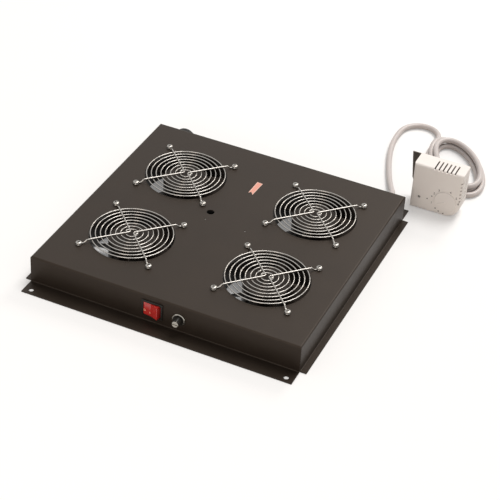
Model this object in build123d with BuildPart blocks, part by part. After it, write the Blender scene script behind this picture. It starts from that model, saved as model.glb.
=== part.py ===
"""Fan tray for a server rack: a folded steel tray with four guarded fans, a switch, a fuse and a thermostat.

Millimetres, +X to the right, +Y to the back, +Z up. The origin is the middle of the four flange bolts,
on the plane that the flanges rest on.
"""

import os
from math import atan2, cos, degrees, pi, radians, sin, sqrt, tan

from build123d import *

os.makedirs("parts", exist_ok=True)

# Fan, a square axial one of 38 mm depth
fan_size = 119.5
fan_depth = 38.0
fan_corner = 8.0
fan_flange = 5.0
fan_wall = 2.75
fan_mouth_round = 2.0
fan_screw_inset = 7.35
fan_screw_hole = 4.5
strut_count = 4
strut_width = 6.0
strut_depth = 3.0
motor_base_dia = 56.0
bearing_tube_dia = 15.0
bearing_dia = 10.0
bearing_length = 6.0
bearing_tube_height = 26.0
bearing_lift = 0.5
lead_box_length = 6.0
lead_box_width = 9.0
lead_box_overlap = 6.0
shaft_dia = 5.0
running_gap = 0.04
stator_dia = 54.0
stator_height = 16.0
stator_slot = 7.0
stator_slots = 4

# Impeller
hub_dia = 64.0
hub_wall = 2.0
hub_recess = 2.6
hub_skirt_gap = 4.5
boss_dia = 12.0
boss_height = 6.0
blade_count = 5
blade_height = 27.0
blade_root_width = 25.0
blade_tip_width = 38.0
blade_thickness = 1.8
blade_edge = 0.8
blade_camber = 3.2
blade_skew = 7.0
blade_tip_gap = 0.8
blade_root_sink = 4.0
blade_tip_overrun = 1.0
blade_lift = 0.5
impeller_turns = {"front_left": -10.0, "front_right": 6.0, "back_left": 20.0, "back_right": 14.0}

# Tray pan, one sheet folded down and open underneath
body_width = 390.0
body_depth = 375.0
sheet = 1.5
bend = 2.5
fan_floor_gap = 2.5
end_flange = 25.0
side_flange = 9.0
corner_seam = 0.5
flange_hole_dia = 7.0
flange_hole_inset = 10.5
flange_hole_out = 17.0
fan_pitch_x = 200.0
fan_pitch_y = 163.0
fan_opening_margin = 1.5
cable_hole_dia = 11.0
cable_hole_x = -30.6
cable_hole_y = 18.3

# Finger guard and its screws
guard_ring_count = 8
guard_inner_radius = 8.5
guard_edge_inset = 1.5
guard_ring_wire = 1.6
guard_arm_wire = 2.0
guard_ring_height = 3.8
guard_weld = 0.3
arm_loop_radius = 2.7
arm_loop_offset = 5.6
arm_knee_gap = 12.1
arm_foot_gap = 6.6
arm_bend = 2.5
eyelet_radius = 3.2
guard_screw_dia = 4.0
guard_screw_length = 13.0
guard_screw_head_dia = 8.6
guard_screw_head_height = 2.9
guard_screw_head_round = 2.0
guard_nut_width = 7.0
guard_nut_height = 3.2

# Rocker switch in the front wall
switch_x = -13.6
switch_z = 22.1
switch_bezel_width = 31.0
switch_bezel_height = 25.2
switch_bezel_depth = 2.0
switch_bezel_round = 1.5
switch_bezel_chamfer = 0.8
switch_body_width = 28.0
switch_body_height = 22.4
switch_body_depth = 18.0
switch_window_width = 25.6
switch_window_height = 20.0
switch_window_depth = 9.2
cutout_gap = 0.1
rocker_gap = 0.3
rocker_pivot_depth = 2.5
rocker_half_width = 11.3
rocker_half_turn = 12.5
rocker_end_rise = 6.7
rocker_middle_rise = 5.2
rocker_side_depth = 1.5
rocker_back_depth = 4.5
rocker_back_half = 5.5
rocker_round = 0.8
rocker_pin_dia = 3.0
rocker_pin_length = 0.8
pin_fit = 0.05
tab_thickness = 0.8
tab_width = 4.8
tab_length = 9.0
tab_pitch_x = 14.0
tab_pitch_z = 12.0

# Fuse holder to the right of the switch
fuse_x = 25.0
fuse_z = 20.5
fuse_flange_dia = 16.0
fuse_flange_depth = 2.2
fuse_barrel_dia = 12.6
fuse_barrel_length = 30.0
fuse_bore_dia = 9.0
fuse_bore_end = 2.8
fuse_ring_dia = 18.6
fuse_ring_depth = 2.6
fuse_ring_bevel = 0.6
fuse_ring_rim = 1.6
fuse_nut_width = 17.0
fuse_nut_depth = 4.0
fuse_cap_dia = 12.4
fuse_cap_nose_dia = 10.4
fuse_cap_depth = 7.4
fuse_cap_bevel = 1.0
fuse_cap_groove = 0.8
fuse_cap_grooves = 12
fuse_stem_dia = 8.4
fuse_stem_length = 7.0
fuse_spigot_length = 2.0
fuse_end_dia = 9.2
fuse_end_depth = 2.6
fuse_end_chamfer = 0.6
fuse_slot_width = 1.3
fuse_slot_depth = 1.2
fuse_link_dia = 5.2
fuse_link_length = 20.0
fuse_link_cap_length = 5.0
fuse_link_cap_wall = 0.3
fuse_clip_wall = 0.7
fuse_clip_length = 8.0
body_gap = 0.3

# Gland for the mains lead, through the back wall at the left
gland_from_side = 35.0
gland_z = 18.0
gland_thread_dia = 22.0
gland_thread_gap = 0.1
gland_thread_length = 10.0
gland_hex_width = 29.0
gland_hex_depth = 6.0
gland_neck_dia = 24.5
gland_neck_depth = 5.5
gland_bore_dia = 15.0
gland_nut_depth = 4.0
gland_dome_dia = 32.0
gland_dome_depth = 13.0
gland_dome_round = 4.0
gland_dome_wall = 6.4
gland_dome_opening = 13.0
gland_ribs = 16
gland_rib_dia = 2.4
seal_bore_dia = 8.4
seal_depth = 11.0

# Strain relief boot of the thermostat lead, through the back wall at the right
cord_dia = 8.4
boot_from_side = 29.0
boot_z = 14.0
boot_flange_dia = 18.0
boot_flange_depth = 2.5
boot_neck_dia = 14.8
boot_nose_dia = 11.2
boot_length = 20.0
boot_lip = 0.5

# Terminal block under the deck, its leads, clips and earth stud
block_length = 72.0
block_width = 20.0
block_height = 12.0
block_y = 0.7
block_screw_pitch = 60.0
block_screw_hole = 2.8
block_screw_gap = 0.05
block_screw_head_dia = 6.0
block_screw_head_height = 2.2
block_screw_recess = 0.6
pole_count = 4
pole_pitch = 12.0
pole_well_dia = 4.0
pole_well_depth = 5.0
pole_slot_width = 1.0
lead_dia = 5.0
lead_drop = 7.0
lead_level_distance = 34.0
switch_lead_straight = 20.0
fuse_lead_straight = 14.0
boot_lead_straight = 18.0
back_lead_inset = 30.0
back_lead_slope = 1.0
back_lead_start = 20.0
back_lead_turn_x = 24.0
back_lead_turn_y = 50.0
earth_stud_y = 30.0
earth_stud_dia = 4.0
earth_stud_length = 11.0
earth_nut_width = 8.0
earth_nut_height = 5.0
clip_length = 8.0
clip_margin = 3.0
clip_floor = 1.6
pair_clip_ys = (-112.0, -52.0)
single_clip_y = 82.0

# Thermostat, standing behind the tray's back right corner
thermo_overlap = 4.6
thermo_gap = 39.4
thermo_width = 74.0
thermo_height = 74.5
thermo_depth = 29.6
thermo_wall = 2.0
thermo_corner = 3.0
thermo_dial_corner = 21.5
thermo_edge = 3.2
base_gap = 0.3
base_thickness = 3.0
vent_count = 6
vent_pitch = 6.05
vent_width = 2.3
vent_reach = 22.0
vent_bite = 2.6
vent_from_corner = 13.5
vent_overrun = 1.0
notch_from_left = 12.4
dial_x = 51.9
dial_z = 23.9
dial_dia = 32.5
dial_depth = 1.8
dial_edge = 0.7
pointer_width = 2.0
pointer_rise = 0.9
pointer_length = 12.0
pointer_turn = 211.0
pointer_taper = 12.0
spindle_dia = 6.0
spindle_fit = 0.06
snap_switch_width = 24.0
snap_switch_height = 18.0
snap_switch_depth = 15.0
snap_switch_round = 1.5
bush_depth = 4.0
bimetal_width = 9.0
bimetal_thickness = 0.8
bimetal_length = 44.0
bimetal_post_depth = 10.0
bimetal_post_width = 6.0
cover_screw_x = 12.8
cover_screw_z = 20.4
cover_screw_hole = 4.4
cover_screw_head = 4.0
cover_screw_slot = 0.6
cover_screw_recess = 0.4
cover_screw_seat = 1.4
cover_screw_shank = 2.4
cover_post_dia = 7.2
plate_thickness = 1.5
plate_wing = 13.2
plate_right_inset = 3.0
plate_height = 73.0
plate_taper_from = 30.0
plate_taper = 4.0
plate_screw_inset = 12.0
plate_screw_dia = 3.0
plate_screw_head_dia = 5.6
plate_screw_head_height = 1.4
cord_bush_x = 21.6
cord_bush_z = 24.0
cord_bush_flange_dia = 15.0
cord_bush_hole_dia = 11.0
cord_bush_length = 4.0
cord_bush_chamfer = 1.2

# Route of the thermostat cord beyond its boot and before its bush: a point for each turn, counted from
# the tray's back right corner, at the height of the cord's middle
cord_rest = cord_dia / 2 + 0.1
lead_steps = [
    (-38.5, 57.5, 6.0),
    (-50.0, 85.5, cord_rest),
    (-64.0, 122.5, cord_rest),
    (-76.0, 162.5, cord_rest),
    (-81.0, 200.5, cord_rest),
    (-80.5, 230.2, cord_rest),
    (-64.0, 246.7, cord_rest),
    (-40.6, 246.7, cord_rest),
    (-24.1, 230.2, cord_rest),
    (-23.5, 204.5, cord_rest),
    (-19.5, 180.5, 6.5),
]
tail_steps = [
    (-11.0, 159.5, 9.0),
    (4.0, 135.5, 14.0),
]
lead_run_out = 14.5
tail_run_in = 35.0
coil_right = 25.2
coil_back = 160.5
coil_lean = 35.0
coil_outer_half_length = 71.5
coil_outer_half_width = 36.0
coil_inner_half_length = 58.0
coil_inner_half_width = 28.0
coil_height = 17.0
coil_round = 5.0

# Values that follow from the sizes above
body_height = fan_floor_gap + fan_depth + sheet
deck_under = body_height - sheet
half_depth = body_depth / 2
half_width = body_width / 2
bolt_pitch_x = body_width - 2 * flange_hole_inset
bolt_pitch_y = body_depth + 2 * flange_hole_out
fan_screw_pitch = fan_size - 2 * fan_screw_inset
throat_radius = fan_size / 2 - fan_wall
fan_opening_radius = throat_radius + fan_opening_margin
gland_x = gland_from_side - half_width
boot_x = half_width - boot_from_side
thermo_left = half_width - thermo_overlap
thermo_front = half_depth + thermo_gap
pole_xs = [(i - (pole_count - 1) / 2) * pole_pitch for i in range(pole_count)]
block_screws_at = ((-block_screw_pitch / 2, block_y), (block_screw_pitch / 2, block_y))
lead_z = deck_under - lead_drop
fan_centres = {
    "front_left": (-fan_pitch_x / 2, -fan_pitch_y / 2),
    "front_right": (fan_pitch_x / 2, -fan_pitch_y / 2),
    "back_left": (-fan_pitch_x / 2, fan_pitch_y / 2),
    "back_right": (fan_pitch_x / 2, fan_pitch_y / 2),
}
screw_spots = [
    (x + side * fan_screw_pitch / 2, y + end * fan_screw_pitch / 2)
    for x, y in fan_centres.values()
    for side in (-1, 1)
    for end in (-1, 1)
]
# On these planes the sketch axes are X and Z, and a positive extrusion goes towards the front
front_face = Plane.XZ.offset(half_depth)
back_face = Plane.XZ.offset(-half_depth)


def save(piece, name):
    """Name a finished piece and write it."""
    piece.part.label = name
    export_step(piece.part, f"parts/{name}.step")


def turned(origin, direction, outline):
    """A piece turned about a level axis along Y, from a closed outline of (along, radius) points."""
    side = Plane(origin=origin, x_dir=(0, direction, 0), z_dir=(1, 0, 0))
    with BuildPart() as piece:
        with BuildSketch(side):
            with BuildLine():
                Polyline(*outline, close=True)
            make_face()
        revolve(axis=Axis(origin, (0, direction, 0)))
    return piece


def corner_radii(points):
    """For each inner corner, 0.45 of its shorter run over the tangent of half the turn."""
    radii = []
    for before, corner, after in zip(points, points[1:], points[2:]):
        run_in = Vector(*corner) - Vector(*before)
        run_out = Vector(*after) - Vector(*corner)
        half_turn = radians(run_in.get_angle(run_out)) / 2
        radii.append(0.45 * min(run_in.length, run_out.length) / tan(half_turn))
    return radii


def tube(points, diameter):
    """A round tube along straight runs joined by tangent arcs."""
    with BuildPart() as piece:
        with BuildLine() as route:
            FilletPolyline(*points, radius=corner_radii(points))
        with BuildSketch(Plane(origin=route.line @ 0, z_dir=route.line % 0)):
            Circle(diameter / 2)
        sweep()
    return piece, route.wire().length


# Tray pan: a folded shell with its flanges and corner seams; each hole comes from the piece that uses it
side_length = body_depth - 2 * (sheet + corner_seam)
up = Vector(0, 0, 1)
flange_runs = (
    (Vector(0, -1, 0), half_depth, end_flange, body_width),
    (Vector(0, 1, 0), half_depth, end_flange, body_width),
    (Vector(1, 0, 0), half_width, side_flange, side_length),
    (Vector(-1, 0, 0), half_width, side_flange, side_length),
)
with BuildPart() as tray_pan:
    with BuildSketch(Plane.XY.offset(bend)):
        Rectangle(body_width, body_depth)
    extrude(amount=body_height - bend)
    fillet(tray_pan.faces().sort_by(Axis.Z)[-1].edges(), bend)
    with BuildSketch(Plane.XY.offset(bend)):
        Rectangle(body_width - 2 * sheet, body_depth - 2 * sheet)
    extrude(amount=deck_under - bend, mode=Mode.SUBTRACT)
    with BuildSketch(Plane.XY.offset(bend)):
        with GridLocations(body_width - sheet, side_length + corner_seam, 2, 2):
            Rectangle(3 * sheet, corner_seam)
    extrude(amount=deck_under - 2 * bend, mode=Mode.SUBTRACT)
    for outward, wall_face, width, run in flange_runs:
        with BuildSketch(Plane(origin=outward * wall_face, x_dir=outward, z_dir=outward.cross(up))):
            with BuildLine():
                Polyline((bend - sheet, 0), (width, 0), (width, sheet), (bend - sheet, sheet))
                CenterArc((bend - sheet, bend), bend - sheet, 180, 90)
                Line((0, bend), (-sheet, bend))
                CenterArc((bend - sheet, bend), bend, 180, 90)
            make_face()
        extrude(amount=run / 2, both=True)
    with BuildSketch(Plane.XY.offset(body_height)):
        with Locations(*fan_centres.values()):
            Circle(fan_opening_radius)
        with Locations(*screw_spots):
            Circle(fan_screw_hole / 2)
        with Locations((cable_hole_x, cable_hole_y)):
            Circle(cable_hole_dia / 2)
        with Locations(*block_screws_at):
            Circle(block_screw_hole / 2)
    extrude(amount=-2 * sheet, mode=Mode.SUBTRACT)
    with BuildSketch():
        with GridLocations(bolt_pitch_x, bolt_pitch_y, 2, 2):
            Circle(flange_hole_dia / 2)
    extrude(amount=2 * sheet, mode=Mode.SUBTRACT)
    with BuildSketch(front_face):
        with Locations((switch_x, switch_z)):
            Rectangle(switch_body_width + 2 * cutout_gap, switch_body_height + 2 * cutout_gap)
        with Locations((fuse_x, fuse_z)):
            Circle(fuse_barrel_dia / 2 + cutout_gap)
    extrude(amount=-2 * sheet, mode=Mode.SUBTRACT)
    with BuildSketch(back_face):
        with Locations((gland_x, gland_z)):
            Circle(gland_thread_dia / 2 + gland_thread_gap)
        with Locations((boot_x, boot_z)):
            Circle(boot_neck_dia / 2 + cutout_gap)
    extrude(amount=2 * sheet, mode=Mode.SUBTRACT)
save(tray_pan, "tray_pan")

# Finger guard about its own centre: rings welded under two bent wires, each with a loop at its apex
guard_outer_radius = fan_opening_radius - guard_edge_inset
guard_ring_pitch = (guard_outer_radius - guard_inner_radius) / (guard_ring_count - 1)
arm_height = guard_ring_height + (guard_ring_wire + guard_arm_wire) / 2 - guard_weld
with BuildPart() as guard:
    with Locations((0, 0, guard_ring_height)):
        for i in range(guard_ring_count):
            Torus(guard_inner_radius + i * guard_ring_pitch, guard_ring_wire / 2)
    for side in (-1, 1):
        with Locations((side * arm_loop_offset, 0, arm_height)):
            Torus(arm_loop_radius, guard_arm_wire / 2)
        for end in (-1, 1):
            screw = Vector(side * fan_screw_pitch / 2, end * fan_screw_pitch / 2)
            start = Vector(
                side * arm_loop_offset - side * arm_loop_radius / sqrt(2), end * arm_loop_radius / sqrt(2)
            )
            along = (screw - start).normalized()
            with BuildLine() as arm_line:
                FilletPolyline(
                    start + Vector(0, 0, arm_height),
                    start + along * (screw.length - arm_knee_gap - start.length) + Vector(0, 0, arm_height),
                    start + along * (screw.length - arm_foot_gap - start.length) + Vector(0, 0, guard_arm_wire / 2),
                    screw - along * eyelet_radius + Vector(0, 0, guard_arm_wire / 2),
                    radius=arm_bend,
                )
            with BuildSketch(Plane(origin=arm_line.line @ 0, z_dir=arm_line.line % 0)):
                Circle(guard_arm_wire / 2)
            sweep()
            with Locations((screw.X, screw.Y, guard_arm_wire / 2)):
                Torus(eyelet_radius, guard_arm_wire / 2)
with BuildPart() as finger_guards:
    with Locations(*[(x, y, body_height) for x, y in fan_centres.values()]):
        add(guard.part)
save(finger_guards, "finger_guards")

# Guard screws and nuts: the head sits on the eyelet, and the nut under the fan's top flange
with BuildPart() as guard_screw:
    with BuildSketch():
        Circle(guard_screw_head_dia / 2)
    extrude(amount=guard_screw_head_height)
    fillet(guard_screw.faces().sort_by(Axis.Z)[-1].edges(), guard_screw_head_round)
    with BuildSketch():
        Circle(guard_screw_dia / 2)
    extrude(amount=-guard_screw_length)
with BuildPart() as guard_screws:
    with Locations(*[(x, y, body_height + guard_arm_wire) for x, y in screw_spots]):
        add(guard_screw.part)
save(guard_screws, "guard_screws")

with BuildPart() as guard_nuts:
    with BuildSketch(Plane.XY.offset(deck_under - fan_flange)):
        with Locations(*screw_spots):
            RegularPolygon(guard_nut_width / 2, 6, major_radius=False)
            Circle(guard_screw_dia / 2, mode=Mode.SUBTRACT)
    extrude(amount=-guard_nut_height)
save(guard_nuts, "guard_nuts")

# Fan frame about its own axis, with the top face at zero
base_bottom = Plane.XY.offset(-fan_depth)
with BuildPart() as fan_frame:
    for level, thickness in ((0, -fan_flange), (-fan_depth, fan_flange)):
        with BuildSketch(Plane.XY.offset(level)):
            RectangleRounded(fan_size, fan_size, fan_corner)
            with GridLocations(fan_screw_pitch, fan_screw_pitch, 2, 2):
                Circle(fan_screw_hole / 2, mode=Mode.SUBTRACT)
        extrude(amount=thickness)
    with BuildSketch():
        Circle(fan_size / 2)
    extrude(amount=-fan_depth)
    with BuildSketch():
        with Locations((fan_size / 2 - lead_box_length / 2, 0)):
            Rectangle(lead_box_length + 2 * lead_box_overlap, lead_box_width)
    extrude(amount=-lead_drop - lead_box_width / 2)
    with BuildSketch():
        Circle(throat_radius)
    extrude(amount=-fan_depth, mode=Mode.SUBTRACT)
    mouths = fan_frame.edges().filter_by(GeomType.CIRCLE).filter_by(
        lambda edge: abs(edge.radius - throat_radius) < 0.01
    )
    fillet(mouths, fan_mouth_round)
    with BuildSketch(base_bottom):
        Circle(motor_base_dia / 2)
        with PolarLocations(0, strut_count, start_angle=45):
            with Locations(((throat_radius + motor_base_dia / 2) / 2, 0)):
                Rectangle(throat_radius - motor_base_dia / 2 + fan_mouth_round, strut_width)
    extrude(amount=strut_depth)
    with BuildSketch(base_bottom):
        Circle(bearing_tube_dia / 2)
    extrude(amount=bearing_tube_height)
    with BuildSketch(base_bottom.offset(strut_depth / 2)):
        Circle(bearing_dia / 2)
    extrude(amount=bearing_tube_height, mode=Mode.SUBTRACT)

# Impeller about the same axis: a cup with a boss for the shaft, and blades lofted from root to tip
blade_middle = blade_lift - fan_depth / 2
with BuildPart() as blade:
    for radius, width, skew in (
        (hub_dia / 2 - blade_root_sink, blade_root_width, 0),
        (throat_radius + blade_tip_overrun, blade_tip_width, -blade_skew),
    ):
        pitch = atan2(blade_height, width)
        normal = Vector(-sin(pitch), cos(pitch))
        low = Vector(skew - width / 2, -blade_height / 2)
        high = Vector(skew + width / 2, blade_height / 2)
        middle = (low + high) / 2 - normal * blade_camber
        with BuildSketch(Plane(origin=(radius, 0, blade_middle), x_dir=(0, 1, 0), z_dir=(1, 0, 0))):
            with BuildLine():
                upper = ThreePointArc(
                    low + normal * blade_edge / 2,
                    middle + normal * blade_thickness / 2,
                    high + normal * blade_edge / 2,
                )
                lower = ThreePointArc(
                    low - normal * blade_edge / 2,
                    middle - normal * blade_thickness / 2,
                    high - normal * blade_edge / 2,
                )
                Line(upper @ 0, lower @ 0)
                Line(upper @ 1, lower @ 1)
            make_face()
    loft()
    with BuildSketch(base_bottom):
        Circle(throat_radius - blade_tip_gap)
        Circle(hub_dia / 2 - hub_wall / 2, mode=Mode.SUBTRACT)
    extrude(amount=fan_depth, mode=Mode.INTERSECT)

hub_top = -hub_recess
hub_bottom = -fan_depth + hub_skirt_gap
boss_bottom = hub_top - hub_wall - boss_height
with BuildPart() as impeller:
    with BuildSketch(Plane.XZ):
        with BuildLine():
            Polyline(
                (0, hub_top),
                (hub_dia / 2, hub_top),
                (hub_dia / 2, hub_bottom),
                (hub_dia / 2 - hub_wall, hub_bottom),
                (hub_dia / 2 - hub_wall, hub_top - hub_wall),
                (boss_dia / 2, hub_top - hub_wall),
                (boss_dia / 2, boss_bottom),
                (shaft_dia / 2, boss_bottom),
                (shaft_dia / 2, hub_top - hub_wall / 2),
                (0, hub_top - hub_wall / 2),
                close=True,
            )
        make_face()
    revolve(axis=Axis.Z)
    fillet(impeller.faces().sort_by(Axis.Z)[-1].edges(), hub_wall / 2)
    with PolarLocations(0, blade_count):
        add(blade.part)

with BuildPart() as fan_shaft:
    with BuildSketch(Plane.XY.offset(hub_top - hub_wall / 2)):
        Circle(shaft_dia / 2)
    extrude(amount=-(fan_depth - hub_recess - hub_wall / 2 - strut_depth / 2 - body_gap))

for name, (x, y) in fan_centres.items():
    facing = 0 if x < 0 else 180
    with BuildPart() as placed_frame:
        with Locations(Location((x, y, deck_under), (0, 0, facing))):
            add(fan_frame.part)
    save(placed_frame, f"fan_frame_{name}")
    with BuildPart() as placed_impeller:
        with Locations(Location((x, y, deck_under), (0, 0, impeller_turns[name]))):
            add(impeller.part)
    save(placed_impeller, f"impeller_{name}")
    with BuildPart() as placed_shaft:
        with Locations((x, y, deck_under)):
            add(fan_shaft.part)
    save(placed_shaft, f"fan_shaft_{name}")

# Bearings, two in each tube, and stators round the tubes
bearing_levels = (strut_depth / 2 + bearing_lift, bearing_tube_height - bearing_length)
with BuildPart() as fan_bearings:
    for level in bearing_levels:
        with BuildSketch(Plane.XY.offset(fan_floor_gap + level)):
            with Locations(*fan_centres.values()):
                Circle(bearing_dia / 2)
                Circle(shaft_dia / 2 + running_gap, mode=Mode.SUBTRACT)
        extrude(amount=bearing_length)
save(fan_bearings, "fan_bearings")

with BuildPart() as fan_stators:
    with BuildSketch(Plane.XY.offset(fan_floor_gap + strut_depth)):
        with Locations(*fan_centres.values()):
            Circle(stator_dia / 2)
            with PolarLocations(stator_dia / 2 - stator_slot, stator_slots, start_angle=45):
                Rectangle(2 * stator_slot, stator_slot, mode=Mode.SUBTRACT)
            Circle(bearing_tube_dia / 2, mode=Mode.SUBTRACT)
    extrude(amount=stator_height)
save(fan_stators, "fan_stators")

# Rocker switch: a housing with a bezel, blade terminals, and a rocker that rests with its left end in
with BuildPart() as switch_housing:
    with BuildSketch(front_face):
        with Locations((switch_x, switch_z)):
            RectangleRounded(switch_bezel_width, switch_bezel_height, switch_bezel_round)
    extrude(amount=switch_bezel_depth)
    chamfer(switch_housing.faces().sort_by(Axis.Y)[0].edges(), switch_bezel_chamfer)
    with BuildSketch(front_face):
        with Locations((switch_x, switch_z)):
            Rectangle(switch_body_width, switch_body_height)
    extrude(amount=-switch_body_depth)
    with BuildSketch(front_face.offset(switch_bezel_depth)):
        with Locations((switch_x, switch_z)):
            Rectangle(switch_window_width, switch_window_height)
    extrude(amount=-(switch_bezel_depth + switch_window_depth), mode=Mode.SUBTRACT)
    rocker_height = switch_window_height - 2 * rocker_gap
    pivot_y = -half_depth + rocker_pivot_depth
    with Locations((switch_x, pivot_y, switch_z)):
        Cylinder(
            rocker_pin_dia / 2 + pin_fit,
            rocker_height + 2 * (rocker_pin_length + rocker_gap),
            mode=Mode.SUBTRACT,
        )
save(switch_housing, "switch_housing")

with BuildPart() as switch_terminals:
    with BuildSketch(front_face.offset(-switch_body_depth)):
        with Locations((switch_x, switch_z)):
            with GridLocations(tab_pitch_x, tab_pitch_z, 2, 2):
                Rectangle(tab_thickness, tab_width)
    extrude(amount=-tab_length)
save(switch_terminals, "switch_terminals")

rocker_turn = radians(rocker_half_turn)
rocker_plane = Plane(
    origin=(switch_x, pivot_y, switch_z - rocker_height / 2),
    x_dir=(cos(rocker_turn), -sin(rocker_turn), 0),
    z_dir=(0, 0, 1),
)
with BuildPart() as switch_rocker:
    with BuildSketch(rocker_plane):
        with BuildLine():
            Polyline(
                (-rocker_half_width, -rocker_end_rise),
                (0, -rocker_middle_rise),
                (rocker_half_width, -rocker_end_rise),
                (rocker_half_width, rocker_side_depth),
                (rocker_back_half, rocker_back_depth),
                (-rocker_back_half, rocker_back_depth),
                (-rocker_half_width, rocker_side_depth),
                close=True,
            )
        make_face()
    extrude(amount=rocker_height)
    fillet(switch_rocker.edges().filter_by(Axis.Z).group_by(Axis.X)[0].sort_by(Axis.Y)[0], rocker_round)
    fillet(switch_rocker.edges().filter_by(Axis.Z).sort_by(Axis.Y)[0], rocker_round)
    with Locations((switch_x, pivot_y, switch_z)):
        Cylinder(rocker_pin_dia / 2, rocker_height + 2 * rocker_pin_length)
save(switch_rocker, "switch_rocker")

# Fuse holder, turned about its own axis; distances run from the wall's outer face towards the front
fuse_origin = (fuse_x, -half_depth, fuse_z)
flange_front = fuse_flange_depth
with BuildPart() as fuse_holder_body:
    add(
        turned(
            fuse_origin,
            -1,
            [
                (flange_front, fuse_bore_dia / 2),
                (flange_front, fuse_flange_dia / 2),
                (0, fuse_flange_dia / 2),
                (0, fuse_barrel_dia / 2),
                (-fuse_barrel_length, fuse_barrel_dia / 2),
                (-fuse_barrel_length, 0),
                (-fuse_barrel_length + fuse_bore_end, 0),
                (-fuse_barrel_length + fuse_bore_end, fuse_bore_dia / 2),
            ],
        ).part
    )
save(fuse_holder_body, "fuse_holder_body")

fuse_bezel_ring = turned(
    fuse_origin,
    -1,
    [
        (0, fuse_flange_dia / 2),
        (0, fuse_ring_dia / 2),
        (fuse_ring_rim, fuse_ring_dia / 2),
        (fuse_ring_depth, fuse_ring_dia / 2 - fuse_ring_bevel),
        (fuse_ring_depth, fuse_flange_dia / 2),
    ],
)
save(fuse_bezel_ring, "fuse_bezel_ring")

with BuildPart() as fuse_holder_nut:
    with BuildSketch(front_face.offset(-sheet)):
        with Locations((fuse_x, fuse_z)):
            RegularPolygon(fuse_nut_width / 2, 6, major_radius=False)
            Circle(fuse_barrel_dia / 2, mode=Mode.SUBTRACT)
    extrude(amount=-fuse_nut_depth)
save(fuse_holder_nut, "fuse_holder_nut")

cap_back = flange_front + body_gap
cap_front = cap_back + fuse_cap_depth
stem_end = cap_back - fuse_stem_length
spigot_dia = fuse_link_dia - 2 * pin_fit
with BuildPart() as fuse_cap:
    add(
        turned(
            fuse_origin,
            -1,
            [
                (stem_end - fuse_spigot_length, 0),
                (stem_end - fuse_spigot_length, spigot_dia / 2),
                (stem_end, spigot_dia / 2),
                (stem_end, fuse_stem_dia / 2),
                (cap_back, fuse_stem_dia / 2),
                (cap_back, fuse_cap_dia / 2),
                (cap_front - fuse_cap_bevel, fuse_cap_nose_dia / 2),
                (cap_front, fuse_end_dia / 2),
                (cap_front, 0),
            ],
        ).part
    )
    with BuildSketch(front_face.offset(cap_back)):
        with Locations((fuse_x, fuse_z)):
            with PolarLocations(fuse_cap_dia / 2, fuse_cap_grooves):
                Circle(fuse_cap_groove / 2)
    extrude(amount=fuse_cap_depth, mode=Mode.SUBTRACT)
save(fuse_cap, "fuse_cap")

with BuildPart() as fuse_cap_end:
    with BuildSketch(front_face.offset(cap_front)):
        with Locations((fuse_x, fuse_z)):
            Circle(fuse_end_dia / 2)
    extrude(amount=fuse_end_depth)
    chamfer(fuse_cap_end.faces().sort_by(Axis.Y)[0].edges(), fuse_end_chamfer)
    with BuildSketch(front_face.offset(cap_front + fuse_end_depth)):
        with Locations((fuse_x, fuse_z)):
            Rectangle(fuse_end_dia, fuse_slot_width)
    extrude(amount=-fuse_slot_depth, mode=Mode.SUBTRACT)
save(fuse_cap_end, "fuse_cap_end")

clip_front = stem_end - body_gap
clip_back = clip_front - fuse_clip_length
fuse_carrier = turned(
    fuse_origin,
    -1,
    [
        (clip_front, fuse_link_dia / 2),
        (clip_front, fuse_link_dia / 2 + fuse_clip_wall),
        (clip_back, fuse_link_dia / 2 + fuse_clip_wall),
        (clip_back, fuse_link_dia / 2),
    ],
)
save(fuse_carrier, "fuse_carrier")

link_front = stem_end - fuse_spigot_length - body_gap
link_back = link_front - fuse_link_length
fuse_link = turned(
    fuse_origin,
    -1,
    [
        (link_front, 0),
        (link_front, fuse_link_dia / 2),
        (link_front - fuse_link_cap_length, fuse_link_dia / 2),
        (link_front - fuse_link_cap_length, fuse_link_dia / 2 - fuse_link_cap_wall),
        (link_back + fuse_link_cap_length, fuse_link_dia / 2 - fuse_link_cap_wall),
        (link_back + fuse_link_cap_length, fuse_link_dia / 2),
        (link_back, fuse_link_dia / 2),
        (link_back, 0),
    ],
)
save(fuse_link, "fuse_link")

# Mains gland; distances run from the wall's outer face towards the back
gland_origin = (gland_x, half_depth, gland_z)
neck_end = gland_hex_depth + gland_neck_depth
with BuildPart() as mains_gland_body:
    with BuildSketch(back_face):
        with Locations((gland_x, gland_z)):
            RegularPolygon(gland_hex_width / 2, 6, major_radius=False)
    extrude(amount=-gland_hex_depth)
    with BuildSketch(back_face.offset(gland_thread_length)):
        with Locations((gland_x, gland_z)):
            Circle(gland_thread_dia / 2)
    extrude(amount=-gland_thread_length)
    with BuildSketch(back_face.offset(-gland_hex_depth)):
        with Locations((gland_x, gland_z)):
            Circle(gland_neck_dia / 2)
    extrude(amount=-gland_neck_depth)
    with BuildSketch(back_face.offset(gland_thread_length)):
        with Locations((gland_x, gland_z)):
            Circle(gland_bore_dia / 2)
    extrude(amount=-(gland_thread_length + neck_end), mode=Mode.SUBTRACT)
save(mains_gland_body, "mains_gland_body")

with BuildPart() as mains_gland_locknut:
    with BuildSketch(back_face.offset(sheet)):
        with Locations((gland_x, gland_z)):
            RegularPolygon(gland_hex_width / 2, 6, major_radius=False)
            Circle(gland_thread_dia / 2, mode=Mode.SUBTRACT)
    extrude(amount=gland_nut_depth)
save(mains_gland_locknut, "mains_gland_locknut")

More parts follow.
